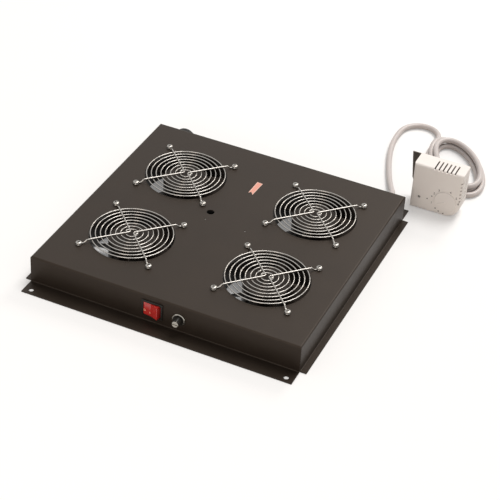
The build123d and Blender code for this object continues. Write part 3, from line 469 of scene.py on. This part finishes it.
def extruded_outline(
    name: str, outline: list[tuple[float, float]], place: Matrix, depth: float
) -> bpy.types.Mesh:
    """A flat piece of even depth.

    Args:
        name: Name of the mesh.
        outline: Corners in order, in millimetres, in the plane of the place's X and Y axes.
        place: Where the outline's plane stands, in metres.
        depth: Depth along the place's Z axis, in millimetres.

    Returns:
        The mesh.
    """
    shape = bmesh.new()
    lower = [shape.verts.new(place @ Vector((x * MM, y * MM, 0))) for x, y in outline]
    upper = [shape.verts.new(place @ Vector((x * MM, y * MM, depth * MM))) for x, y in outline]
    shape.faces.new(lower)
    shape.faces.new(upper)
    for i in range(len(outline)):
        j = (i + 1) % len(outline)
        shape.faces.new((lower[i], lower[j], upper[j], upper[i]))
    return mesh_from(name, shape, smooth=False)


def circle_outline(radius: float, count: int) -> list[tuple[float, float]]:
    """Points all round a circle.

    Args:
        radius: Radius of the circle, in millimetres.
        count: Number of points.

    Returns:
        The points, in millimetres.
    """
    steps = [math.radians(360 * i / count) for i in range(count)]
    return [(radius * math.cos(a), radius * math.sin(a)) for a in steps]


def facing_front(x: float, y: float, z: float) -> Matrix:
    """A plane that faces the front, with X to the right and Y up.

    Args:
        x: Place along X, in millimetres.
        y: Place along Y, in millimetres.
        z: Place along Z, in millimetres.

    Returns:
        The plane's matrix.
    """
    return Matrix.Translation(Vector((x, y, z)) * MM) @ Matrix.Rotation(math.radians(90), 4, "X")


@dataclass
class FingerGuard:
    """A wire guard: welded rings under two bent arm wires, each with an eye at its apex.

    Attributes:
        fan: The fan that it covers.
        ring_count: Number of rings.
        inner_radius: Mean radius of the smallest ring.
        outer_radius: Mean radius of the largest ring.
        ring_wire: Diameter of the ring wire.
        arm_wire: Diameter of the arm wire.
        ring_height: Height of the rings' middle.
        arm_height: Height of the arms' middle.
        foot_height: Height of the eyelets' middle.
        screw_offset: Distance of a screw from the fan's centre along X and along Y.
        eye_offset: Distance of an apex eye from the centre.
        eye_radius: Mean radius of that eye.
        knee_radius: Distance from the centre where an arm bends down.
        eyelet_radius: Mean radius of the loop round a screw.
        knee_reach: Distances past the knee's radius where the bend starts, rises, levels out and ends.
        knee_rise: Height of the bend's second point over the foot.
        knee_fall: Height of its third point under the arm.
        apex_lead: Straight length before the apex.
        apex_angles: Angles of the wire's points round the apex eye, in degrees.
        apex_reach: Share of the eye's radius at which those points stand.
        ring_points: Control points of a ring.
    """

    fan: FanPlace
    ring_count: int = 8
    inner_radius: float = 8.5
    outer_radius: float = 57.0
    ring_wire: float = 1.6
    arm_wire: float = 2.0
    ring_height: float = 45.8
    arm_height: float = 47.3
    foot_height: float = 43.0
    screw_offset: float = 52.4
    eye_offset: float = 5.6
    eye_radius: float = 2.7
    knee_radius: float = 62.0
    eyelet_radius: float = 3.2
    knee_reach: tuple[float, float, float, float] = (6.5, 4.0, 1.5, -1.0)
    knee_rise: float = 0.8
    knee_fall: float = 0.6
    apex_lead: float = 4.0
    apex_angles: tuple[int, ...] = (45, 22, 0, -22, -45)
    apex_reach: float = 1.02
    ring_points: int = 12

    def circle(
        self, curve: bpy.types.Curve, x: float, y: float, z: float, radius: float, wire: float
    ) -> None:
        """Add one closed ring of wire.

        Args:
            curve: Curve that takes the ring.
            x: Centre along X, from the fan's centre.
            y: Centre along Y, from the fan's centre.
            z: Height of the ring's middle.
            radius: Mean radius.
            wire: Diameter of the wire.
        """
        # The control points of a closed quadratic curve stand this much outside the circle that it draws
        reach = radius * 2 / (1 + math.cos(math.pi / self.ring_points))
        spline = curve.splines.new("NURBS")
        spline.points.add(self.ring_points - 1)
        for i, point in enumerate(spline.points):
            angle = 2 * math.pi * i / self.ring_points
            place = Vector(self.fan.value).to_3d() + Vector(
                (x + reach * math.cos(angle), y + reach * math.sin(angle), z)
            )
            point.co = (*(place * MM), 1.0)
            point.radius = wire / self.arm_wire
        spline.use_cyclic_u = True
        spline.order_u = 3
        spline.resolution_u = 8

    def arm(self, curve: bpy.types.Curve, side: int) -> None:
        """Add one wire that runs from a screw to the apex eye and on to the next screw.

        Args:
            curve: Curve that takes the wire.
            side: -1 for the wire at the left, 1 for the one at the right.
        """
        corner = self.eye_radius / math.sqrt(2)
        start = Vector((side * (self.eye_offset - corner), corner, 0))
        screw = Vector((side * self.screw_offset, self.screw_offset, 0))
        along = (screw - start).normalized()
        bend_start, bend_rise, bend_fall, bend_end = (self.knee_radius + reach for reach in self.knee_reach)
        stops = (
            (screw.length - self.eyelet_radius, self.foot_height),
            (bend_start, self.foot_height),
            (bend_rise, self.foot_height + self.knee_rise),
            (bend_fall, self.arm_height - self.knee_fall),
            (bend_end, self.arm_height),
            (self.knee_radius / 2, self.arm_height),
            (start.length + self.apex_lead, self.arm_height),
        )
        half = [
            start + along * (distance - start.length) + Vector((0, 0, height)) for distance, height in stops
        ]
        apex = [
            Vector((side * self.eye_offset, 0, self.arm_height))
            + Vector((-side * self.eye_radius * math.cos(a), self.eye_radius * math.sin(a), 0))
            * self.apex_reach
            for a in map(math.radians, self.apex_angles)
        ]
        mirrored = [Vector((p.x, -p.y, p.z)) for p in reversed(half)]
        centre = Vector(self.fan.value).to_3d()
        spline = curve.splines.new("NURBS")
        route = half + apex + mirrored
        spline.points.add(len(route) - 1)
        for point, place in zip(spline.points, route):
            point.co = (*((centre + place) * MM), 1.0)
        spline.order_u = 3
        spline.use_endpoint_u = True
        spline.resolution_u = 6

    def build(self, replaced: tuple[str, ...]) -> None:
        """Build the guard as one piece.

        Args:
            replaced: CAD nodes that this guard stands for.
        """
        curve = bpy.data.curves.new(f"guard_{self.fan.label}", "CURVE")
        curve.dimensions = "3D"
        curve.bevel_depth = self.arm_wire / 2 * MM
        curve.bevel_resolution = 3
        curve.use_fill_caps = True
        pitch = (self.outer_radius - self.inner_radius) / (self.ring_count - 1)
        for i in range(self.ring_count):
            self.circle(curve, 0, 0, self.ring_height, self.inner_radius + i * pitch, self.ring_wire)
        for side in (-1, 1):
            self.arm(curve, side)
            self.circle(curve, side * self.eye_offset, 0, self.arm_height, self.eye_radius, self.arm_wire)
            for end in (-1, 1):
                self.circle(
                    curve,
                    side * self.screw_offset,
                    end * self.screw_offset,
                    self.foot_height,
                    self.eyelet_radius,
                    self.arm_wire,
                )
        place_piece(f"guard_{self.fan.label}", curve, PLATED_WIRE, replaced=replaced)


@dataclass
class GuardScrews:
    """Pan head screws with a cross recess, four to each guard.

    Attributes:
        head_radius: Radius of a head.
        head_height: Height of a head.
        seat: Height of the heads' undersides.
        shank_radius: Radius of a shank.
        shank_length: Length of a shank below the head.
        recess_width: Width of the recess's slots.
        recess_radius: Reach of the recess from the middle.
        recess_depth: Depth of the recess.
        recess_drop: Height of the recess's rim below the head's top.
        recess_taper: Size of the recess's floor as a share of its rim.
        recess_turn: Turn of the recess from one screw to the next, in degrees.
        dome_angles: Angles of the rings of the head's dome, in degrees.
        segments: Corners of a ring.
        screw_offset: Distance of a screw from the fan's centre along X and along Y.
    """

    head_radius: float = 4.3
    head_height: float = 2.9
    seat: float = 44.0
    shank_radius: float = 2.0
    shank_length: float = 13.0
    recess_width: float = 1.1
    recess_radius: float = 2.5
    recess_depth: float = 1.5
    recess_drop: float = 0.1
    recess_taper: float = 0.55
    recess_turn: float = 37.0
    dome_angles: tuple[int, ...] = (0, 15, 30, 45, 58, 68)
    segments: int = 24
    screw_offset: float = 52.4

    def head_profile(self) -> list[tuple[float, float]]:
        """Outline of the screw, from its tip over the head, with the sides of the dome drawn full.

        Returns:
            Radius and height of each corner, in millimetres.
        """
        dome = [
            (self.head_radius * math.cos(a) ** 0.7, self.head_height * (0.35 + 0.65 * math.sin(a)))
            for a in map(math.radians, self.dome_angles)
        ]
        shank = [(self.shank_radius, -self.shank_length), (self.shank_radius, 0)]
        return [*shank, (self.head_radius, 0), *dome]

    def add_screw(self, shape: bmesh.types.BMesh, centre: Vector, turn: float) -> None:
        """Add one screw.

        Args:
            shape: Shape that takes it.
            centre: Where its axis meets the seat, in millimetres.
            turn: Turn of the recess, in degrees.
        """
        rings: list[list[bmesh.types.BMVert]] = []
        for radius, height in self.head_profile():
            ring = []
            for i in range(self.segments):
                angle = 2 * math.pi * i / self.segments + math.radians(turn)
                place = centre + Vector((radius * math.cos(angle), radius * math.sin(angle), height))
                ring.append(shape.verts.new(place * MM))
            rings.append(ring)
        for lower, upper in zip(rings, rings[1:]):
            for i in range(self.segments):
                j = (i + 1) % self.segments
                shape.faces.new((lower[i], lower[j], upper[j], upper[i]))
        shape.faces.new(rings[0])
        # The cross recess: from the last ring of the dome in to a cross, then down and closed
        half = self.recess_width / 2
        cross = []
        for quarter in range(4):
            angle = math.radians(90 * quarter + turn)
            along = Vector((math.cos(angle), math.sin(angle), 0))
            across = Vector((-math.sin(angle), math.cos(angle), 0))
            cross += [
                along * self.recess_radius - across * half,
                along * self.recess_radius + across * half,
                along * half + across * half,
            ]
        top = Vector((0, 0, self.head_height - self.recess_drop))
        bottom = top - Vector((0, 0, self.recess_depth))
        rim = [shape.verts.new((centre + p + top) * MM) for p in cross]
        floor = [shape.verts.new((centre + p * self.recess_taper + bottom) * MM) for p in cross]
        corners = len(cross)
        for i in range(corners):
            j = (i + 1) % corners
            shape.faces.new((rim[i], rim[j], floor[j], floor[i]))
        shape.faces.new(floor)
        edges = [
            shape.edges.get((loop[i], loop[(i + 1) % len(loop)]))
            for loop in (rings[-1], rim)
            for i in range(len(loop))
        ]
        bmesh.ops.triangle_fill(shape, edges=edges, use_beauty=True)

    def build(self) -> None:
        """Build the sixteen screws as one piece."""
        shape = bmesh.new()
        corners = [(sx, sy) for sx in (-1, 1) for sy in (-1, 1)]
        for number, fan in enumerate(FanPlace):
            for corner, (sx, sy) in enumerate(corners):
                x, y = fan.value
                centre = Vector((x + sx * self.screw_offset, y + sy * self.screw_offset, self.seat))
                turn = self.recess_turn * (number * len(corners) + corner)
                self.add_screw(shape, centre, turn)
        mesh = mesh_from("guard_screws_dressed", shape)
        mesh.set_sharp_from_angle(angle=math.radians(35))
        place_piece(
            "guard_screws_dressed", mesh, PLATED_SCREW, replaced=("guard_screws",)
        )


@dataclass
class Fans:
    """Frames, impellers and motors, which keep their CAD shapes."""

    def build(self) -> None:
        """Dress every fan node."""
        for fan in FanPlace:
            WARDROBE.dress(FAN_PAINT, f"fan_frame_{fan.label}")
            WARDROBE.dress(BLADE_PLASTIC, f"impeller_{fan.label}")
            WARDROBE.dress(GROUND_STEEL, f"fan_shaft_{fan.label}")
        WARDROBE.dress(GROUND_STEEL, "fan_bearings")
        WARDROBE.dress(LAMINATION, "fan_stators")
        WARDROBE.dress(PLATED_SCREW, "guard_nuts")


@dataclass
class TrayPan:
    """The folded pan and the blank label on its deck.

    Attributes:
        deck: Height of the deck's upper face.
        label_outline: Corners of the label on the deck, in millimetres.
        label_middle: Middle of the label.
        label_depth: Thickness of the label.
        print_depth: Thickness of the coral field on it.
        border: Width of the label's paler border.
    """

    deck: float = 42.0
    label_outline: tuple[tuple[float, float], ...] = (
        (-3.9, 116.4),
        (-4.4, 86.6),
        (-1.4, 90.4),
        (2.9, 84.4),
        (4.6, 115.8),
    )
    label_middle: tuple[float, float] = (0.0, 102.0)
    label_depth: float = 0.12
    print_depth: float = 0.03
    border: float = 0.9

    def build(self) -> None:
        """Dress the pan and lay the label on it."""
        WARDROBE.dress(POWDER_COAT, "tray_pan")
        place = Matrix.Translation((0, 0, self.deck * MM))
        mesh = extruded_outline("deck_label", list(self.label_outline), place, self.label_depth)
        place_piece("deck_label", mesh, LABEL_BORDER)
        inner = []
        for x, y in self.label_outline:
            away = Vector((x, y)) - Vector(self.label_middle)
            inner.append((x - math.copysign(self.border, away.x), y - math.copysign(self.border, away.y)))
        raised = Matrix.Translation((0, 0, (self.deck + self.label_depth) * MM))
        print_mesh = extruded_outline("deck_label_print", inner, raised, self.print_depth)
        place_piece("deck_label_print", print_mesh, CORAL_PAPER)


@dataclass
class RockerSwitch:
    """Rocker switch in the front wall, with its two printed marks.

    Attributes:
        pivot: The rocker's pivot, in millimetres.
        half_turn: Angle of the rocker at rest, in degrees.
        face_reach: Distance of the face's middle from the pivot.
        face_end: Distance of the face's end from the pivot.
        face_half: Length of the rocker's left face.
        mark_drop: Height of the marks below the middle.
        mark_depth: Thickness of the marks.
        line_along: Distance of the line from the rocker's middle.
        line_outline: Corners of the line.
        ring_along: Distance of the ring from the rocker's middle.
        ring_radii: Inner and outer radius of the ring.
        ring_corners: Corners of each circle of the ring.
    """

    pivot: tuple[float, float, float] = (-13.6, -185.0, 22.1)
    half_turn: float = 12.5
    face_reach: float = 5.2
    face_end: float = 6.7
    face_half: float = 11.3
    mark_drop: float = 3.2
    mark_depth: float = 0.05
    line_along: float = 1.0
    line_outline: tuple[tuple[float, float], ...] = ((-0.4, -2.9), (0.4, -2.9), (0.4, 0.1), (-0.4, 0.1))
    ring_along: float = 9.2
    ring_radii: tuple[float, float] = (0.9, 1.6)
    ring_corners: int = 24

    def mark_place(self, along: float) -> Matrix:
        """A plane on the rocker's left face, a little in front of it.

        Args:
            along: Distance from the rocker's middle along its face, in millimetres.

        Returns:
            The plane's matrix.
        """
        slope = math.atan2(self.face_end - self.face_reach, self.face_half)
        outward = self.face_reach + along * math.tan(slope)
        turned = Matrix.Rotation(math.radians(-self.half_turn), 4, "Z")
        face = Matrix.Translation(Vector((-along, -outward, -self.mark_drop)) * MM)
        tilt = Matrix.Rotation(slope, 4, "Z")
        upright = Matrix.Rotation(math.radians(90), 4, "X")
        return Matrix.Translation(Vector(self.pivot) * MM) @ turned @ face @ tilt @ upright

    def ring_mesh(self) -> bpy.types.Mesh:
        """The printed ring, closed on all its sides.

        Returns:
            The mesh.
        """
        shape = bmesh.new()
        place = self.mark_place(self.ring_along)
        circles = []
        for radius in self.ring_radii:
            points = circle_outline(radius, self.ring_corners)
            for height in (0.0, self.mark_depth):
                circles.append(
                    [shape.verts.new(place @ Vector((x * MM, y * MM, height * MM))) for x, y in points]
                )
        inner_low, inner_high, outer_low, outer_high = circles
        walls = (
            (inner_low, outer_low),
            (inner_high, outer_high),
            (inner_low, inner_high),
            (outer_low, outer_high),
        )
        for a, b in walls:
            for i in range(self.ring_corners):
                j = (i + 1) % self.ring_corners
                shape.faces.new((a[i], a[j], b[j], b[i]))
        return mesh_from("switch_ring", shape, smooth=False)

    def build(self) -> None:
        """Dress the switch and print its marks."""
        WARDROBE.dress(BLACK_PLASTIC, "switch_housing")
        WARDROBE.dress(RED_PLASTIC, "switch_rocker")
        WARDROBE.dress(NICKEL, "switch_terminals")
        line_place = self.mark_place(self.line_along)
        line_mesh = extruded_outline("switch_line", list(self.line_outline), line_place, self.mark_depth)
        place_piece("switch_line", line_mesh, PALE_PRINT, "rocker")
        place_piece("switch_ring", self.ring_mesh(), PALE_PRINT, "rocker")


@dataclass
class FuseHolder:
    """Panel fuse holder, which keeps its CAD shapes."""

    def build(self) -> None:
        """Dress the fuse holder."""
        WARDROBE.dress(BLACK_PLASTIC, "fuse_holder_body", "fuse_holder_nut", "fuse_cap")
        WARDROBE.dress(NICKEL, "fuse_bezel_ring", "fuse_cap_end", "fuse_carrier")
        WARDROBE.dress(FUSE_GLASS, "fuse_link")


@dataclass
class MainsGland:
    """Gland for the mains lead and the boot of the thermostat cord."""

    def build(self) -> None:
        """Dress the gland and the boot."""
        WARDROBE.dress(GLAND_PLASTIC, "mains_gland_body", "mains_gland_locknut", "mains_gland_dome_nut")
        WARDROBE.dress(RUBBER, "mains_gland_seal", "cord_boot", "cord_bush")


@dataclass
class InnerWiring:
    """Terminal block, leads, clips and earth stud under the deck."""

    def build(self) -> None:
        """Dress the wiring."""
        WARDROBE.dress(WHITE_POLYAMIDE, "terminal_block", "lead_clips")
        WARDROBE.dress(LEAD_SLEEVE, "inner_leads")
        WARDROBE.dress(PLATED_SCREW, "earth_stud", "block_screws")


@dataclass
class ThermostatCord:
    """The light grey cord from its boot over the floor, round three turns and into the thermostat.

    Attributes:
        diameter: Diameter of the jacket.
        lead: Route from the boot to the coil.
        tail: Route from the coil to the thermostat's bush.
        centre: Middle of the coil.
        lean: Angle between the coil's long axis and +Y, in degrees.
        points_per_turn: Control points of one turn.
        turns: Angle in degrees, half length, half width and height of the strand, at spots along the coil.
    """

    diameter: float = 8.4
    lead: tuple[tuple[float, float, float], ...] = (
        (166.0, 207.5, 14.0),
        (166.0, 222.0, 14.0),
        (155.0, 245.0, 6.0),
        (141.5, 273.0, 4.3),
        (127.0, 310.0, 4.3),
        (115.0, 350.0, 4.3),
        (110.5, 386.0, 4.3),
        (113.0, 416.0, 4.3),
        (132.0, 434.0, 4.3),
        (156.0, 433.5, 4.3),
        (171.0, 416.5, 4.3),
        (171.0, 392.0, 4.3),
        (170.0, 368.0, 4.3),
    )
    tail: tuple[tuple[float, float, float], ...] = (
        (199.0, 323.0, 18.5),
        (212.0, 297.0, 24.0),
        (212.0, 262.0, 24.0),
    )
    centre: tuple[float, float] = (220.2, 348.0)
    lean: float = 35.0
    points_per_turn: int = 16
    turns: tuple[tuple[float, float, float, float], ...] = (
        (160.0, 75.0, 41.0, 4.3),
        (250.0, 73.0, 38.5, 4.3),
        (340.0, 72.0, 36.5, 4.3),
        (430.0, 71.5, 37.5, 6.5),
        (475.0, 69.5, 36.0, 12.8),
        (520.0, 68.0, 34.5, 8.6),
        (565.0, 64.0, 32.0, 4.3),
        (610.0, 61.0, 30.0, 4.3),
        (700.0, 62.5, 28.5, 4.3),
        (790.0, 61.5, 30.0, 4.3),
        (835.0, 59.0, 30.0, 4.3),
        (880.0, 56.0, 24.5, 4.3),
        (925.0, 57.0, 24.0, 10.2),
        (970.0, 62.0, 31.0, 12.8),
        (1060.0, 65.0, 32.5, 12.8),
        (1150.0, 64.5, 33.0, 12.8),
        (1195.0, 60.0, 31.5, 14.6),
        (1240.0, 59.0, 27.5, 15.5),
    )

    def coil(self) -> list[tuple[float, float, float]]:
        """Control points of the coil's turns, each eased from one row of turns to the next.

        Returns:
            The points, in millimetres.
        """
        lean = math.radians(self.lean)
        first, last = self.turns[0][0], self.turns[-1][0]
        count = round(self.points_per_turn * (last - first) / 360)
        points = []
        for i in range(count + 1):
            angle = first + (last - first) * i / count
            after = next(k for k in range(1, len(self.turns)) if angle <= self.turns[k][0])
            low, high = self.turns[after - 1], self.turns[after]
            share = (angle - low[0]) / (high[0] - low[0])
            share = share * share * (3 - 2 * share)
            long_half, wide_half, height = (a + (b - a) * share for a, b in zip(low[1:], high[1:]))
            across = wide_half * math.cos(math.radians(angle))
            along = long_half * math.sin(math.radians(angle))
            x = self.centre[0] + across * math.cos(lean) - along * math.sin(lean)
            y = self.centre[1] + across * math.sin(lean) + along * math.cos(lean)
            points.append((x, y, height))
        return points

    def build(self) -> None:
        """Lay the cord as one smooth spline."""
        curve = bpy.data.curves.new("thermostat_cord", "CURVE")
        curve.dimensions = "3D"
        curve.bevel_depth = self.diameter / 2 * MM
        curve.bevel_resolution = 5
        curve.use_fill_caps = True
        route = [*self.lead, *self.coil(), *self.tail]
        spline = curve.splines.new("NURBS")
        spline.points.add(len(route) - 1)
        for point, place in zip(spline.points, route):
            point.co = (*(Vector(place) * MM), 1.0)
        spline.order_u = 3
        spline.use_endpoint_u = True
        spline.resolution_u = 10
        piece = place_piece(
            "thermostat_cord",
            curve,
            CORD_JACKET,
            replaced=("cord_lead", "cord_coil", "cord_tail"),
        )


@dataclass
class Thermostat:
    """Thermostat on its plate, with the print round its dial.

    Attributes:
        front: The cover's front face along Y.
        dial: The dial's centre along X and Z.
        scale: Numbers of the scale, each with its angle in degrees from +X and its distance from the centre.
        dots: Angle and distance of each dot between them.
        dot_radius: Radius of a dot.
        dot_corners: Corners of a dot.
        number_height: Height of a number.
        print_depth: Thickness of the print.
    """

    front: float = 226.9
    dial: tuple[float, float] = (242.3, 23.9)
    scale: tuple[tuple[str, float, float], ...] = (
        ("1", 201.4, 21.2),
        ("2", 152.6, 19.6),
        ("3", 124.1, 19.6),
        ("4", 70.6, 19.2),
        ("5", 34.9, 19.2),
        ("6", 8.1, 20.0),
    )
    dots: tuple[tuple[float, float], ...] = (
        (170.5, 20.6),
        (229.3, 19.8),
        (247.4, 20.0),
        (268.6, 20.2),
        (186.0, 26.8),
    )
    dot_radius: float = 0.95
    dot_corners: int = 12
    number_height: float = 5.2
    print_depth: float = 0.05

    def round_dial(self, angle: float, distance: float) -> tuple[float, float]:
        """A place on the cover's front face.

        Args:
            angle: Its angle about the dial's centre, in degrees from +X.
            distance: Its distance from that centre.

        Returns:
            Its X and Z, in millimetres.
        """
        turn = math.radians(angle)
        return self.dial[0] + distance * math.cos(turn), self.dial[1] + distance * math.sin(turn)

    def text(self, name: str, words: str, x: float, z: float, height: float) -> None:
        """Print a word on the cover's front face.

        Args:
            name: Name of the piece.
            words: What it says.
            x: Middle of the word along X.
            z: Middle of the word along Z.
            height: Height of the letters.
        """
        curve = bpy.data.curves.new(name, "FONT")
        curve.body = words
        curve.size = height * MM
        curve.align_x = "CENTER"
        curve.align_y = "CENTER"
        curve.extrude = self.print_depth / 2 * MM
        helper = bpy.data.objects.new(f"{name}_outline", curve)
        bpy.context.scene.collection.objects.link(helper)
        bpy.context.view_layer.update()
        mesh = bpy.data.meshes.new_from_object(helper)
        bpy.data.objects.remove(helper)
        mesh.name = name
        mesh.transform(facing_front(x, self.front - self.print_depth / 2, z))
        mesh.materials.clear()
        place_piece(name, mesh, DARK_PRINT)

    def build(self) -> None:
        """Dress the thermostat and print its scale."""
        WARDROBE.dress(CREAM_ABS, "thermostat_cover", "thermostat_dial", "thermostat_base")
        WARDROBE.dress(DARK_STEEL, "thermostat_plate")
        WARDROBE.dress(PLATED_SCREW, "thermostat_cover_screw", "plate_screws")
        WARDROBE.dress(GROUND_STEEL, "thermostat_spindle")
        WARDROBE.dress(BLACK_PLASTIC, "thermostat_switch")
        WARDROBE.dress(NICKEL, "thermostat_bimetal")
        for words, angle, distance in self.scale:
            x, z = self.round_dial(angle, distance)
            self.text(f"dial_number_{words}", words, x, z, self.number_height)
        for number, (angle, distance) in enumerate(self.dots):
            x, z = self.round_dial(angle, distance)
            place = facing_front(x, self.front, z)
            outline = circle_outline(self.dot_radius, self.dot_corners)
            mesh = extruded_outline(f"dial_dot_{number}", outline, place, self.print_depth)
            place_piece(f"dial_dot_{number}", mesh, DARK_PRINT)


@dataclass
class Studio:
    """Floor, lights and the photograph's camera.

    Attributes:
        camera_place: The camera's place, in metres.
        camera_turn: The camera's turn about X, Y and Z, in degrees.
        lens: Focal length, in millimetres.
        sensor: Width of the camera's sensor, in millimetres.
        aim: The point that the lamps face, in metres.
        world_strength: Strength of the surroundings as they light the object.
        world_colour: sRGB hex of the surroundings as they light the object.
        floor_reach: Distance of the floor's edges from its middle, in metres.
        floor_drop: Depth of the floor below the object, in millimetres.
    """

    camera_place: tuple[float, float, float] = (0.71268, -1.63877, 1.33939)
    camera_turn: tuple[float, float, float] = (53.1333, -3.1400, 24.6804)
    lens: float = 116.292
    sensor: float = 36.0
    aim: tuple[float, float, float] = (0.05, 0.05, 0.0)
    world_strength: float = 0.42
    world_colour: str = "fbf8f5"
    floor_reach: float = 6.0
    floor_drop: float = 0.05

    def add_sun(self, name: str, away: Vector, spread: float, strength: float, colour: str) -> None:
        """Add one light that is the same all over the floor.

        Args:
            name: Name of the light.
            away: Direction that its light comes from.
            spread: Angle that it covers, in degrees, wide for soft shadows.
            strength: Its strength, in watts to the square metre.
            colour: sRGB hex of its light.
        """
        lamp = bpy.data.lights.new(name, "SUN")
        lamp.angle = math.radians(spread)
        lamp.energy = strength
        lamp.color = linear(colour)[:3]
        holder = bpy.data.objects.new(name, lamp)
        holder.rotation_euler = away.to_track_quat("Z", "Y").to_euler()
        bpy.context.scene.collection.objects.link(holder)

    def add_lamp(self, name: str, place: Vector, size: float, power: float, colour: str) -> None:
        """Add one square soft light that faces the object.

        Args:
            name: Name of the light.
            place: Its place, in metres.
            size: Its side, in metres.
            power: Its power, in watts.
            colour: sRGB hex of its light.
        """
        lamp = bpy.data.lights.new(name, "AREA")
        lamp.shape = "SQUARE"
        lamp.size = size
        lamp.energy = power
        lamp.color = linear(colour)[:3]
        holder = bpy.data.objects.new(name, lamp)
        holder.location = place
        holder.rotation_euler = (Vector(self.aim) - place).to_track_quat("-Z", "Y").to_euler()
        bpy.context.scene.collection.objects.link(holder)

    def add_camera(self) -> None:
        """Add the camera of the photograph."""
        camera = bpy.data.cameras.new("photo_camera")
        camera.lens = self.lens
        camera.sensor_width = self.sensor
        camera.clip_end = 20.0
        holder = bpy.data.objects.new("photo_camera", camera)
        holder.location = self.camera_place
        holder.rotation_euler = [math.radians(a) for a in self.camera_turn]
        bpy.context.scene.collection.objects.link(holder)
        bpy.context.scene.camera = holder

    def add_floor(self) -> None:
        """Add the paper floor, just under the object."""
        shape = bmesh.new()
        bmesh.ops.create_grid(shape, x_segments=8, y_segments=8, size=self.floor_reach)
        mesh = mesh_from("studio_floor", shape)
        mesh.materials.append(WARDROBE.material(STUDIO_PAPER))
        floor = bpy.data.objects.new("studio_floor", mesh)
        floor.location.z = -self.floor_drop * MM
        bpy.context.scene.collection.objects.link(floor)

    def add_world(self) -> None:
        """Add the pale surroundings, which the camera, metal and glass see as plain white."""
        world = bpy.data.worlds.new("studio")
        world.use_nodes = True
        tree = world.node_tree
        tree.nodes.clear()
        around = add_node(
            tree,
            "ShaderNodeBackground",
            {"Color": linear(self.world_colour), "Strength": self.world_strength},
        )
        white = add_node(tree, "ShaderNodeBackground", {"Color": linear(WHITE), "Strength": 1.0})
        both = add_node(
            tree,
            "ShaderNodeMixShader",
            {0: seeing_ray(tree), 1: around.outputs["Background"], 2: white.outputs["Background"]},
        )
        add_node(tree, "ShaderNodeOutputWorld", {"Surface": both.outputs["Shader"]})
        bpy.context.scene.world = world

    def build(self) -> None:
        """Set the whole studio up."""
        bpy.context.scene.view_settings.view_transform = "Standard"
        self.add_world()
        self.add_floor()
        self.add_camera()
        self.add_sun("key_light", Vector((0.3, 0.75, 1.9)), spread=30.0, strength=1.8, colour="fffcf9")
        self.add_lamp("sheen_light", Vector((0.35, 1.75, 1.4)), size=0.6, power=10.0, colour="fff8f0")
        self.add_lamp("front_light", Vector((0.2, -2.6, 0.9)), size=1.2, power=17.0, colour="fff3e8")


def main() -> None:
    """Build every sub-assembly in order."""
    logging.basicConfig(level=logging.INFO, format="%(name)s: %(message)s")
    Studio().build()
    ThermostatCord().build()
    TrayPan().build()
    Fans().build()
    for number, fan in enumerate(FanPlace):
        FingerGuard(fan).build(("finger_guards",) if number == 0 else ())
    GuardScrews().build()
    RockerSwitch().build()
    FuseHolder().build()
    MainsGland().build()
    InnerWiring().build()
    Thermostat().build()


if __name__ == "__main__":
    main()
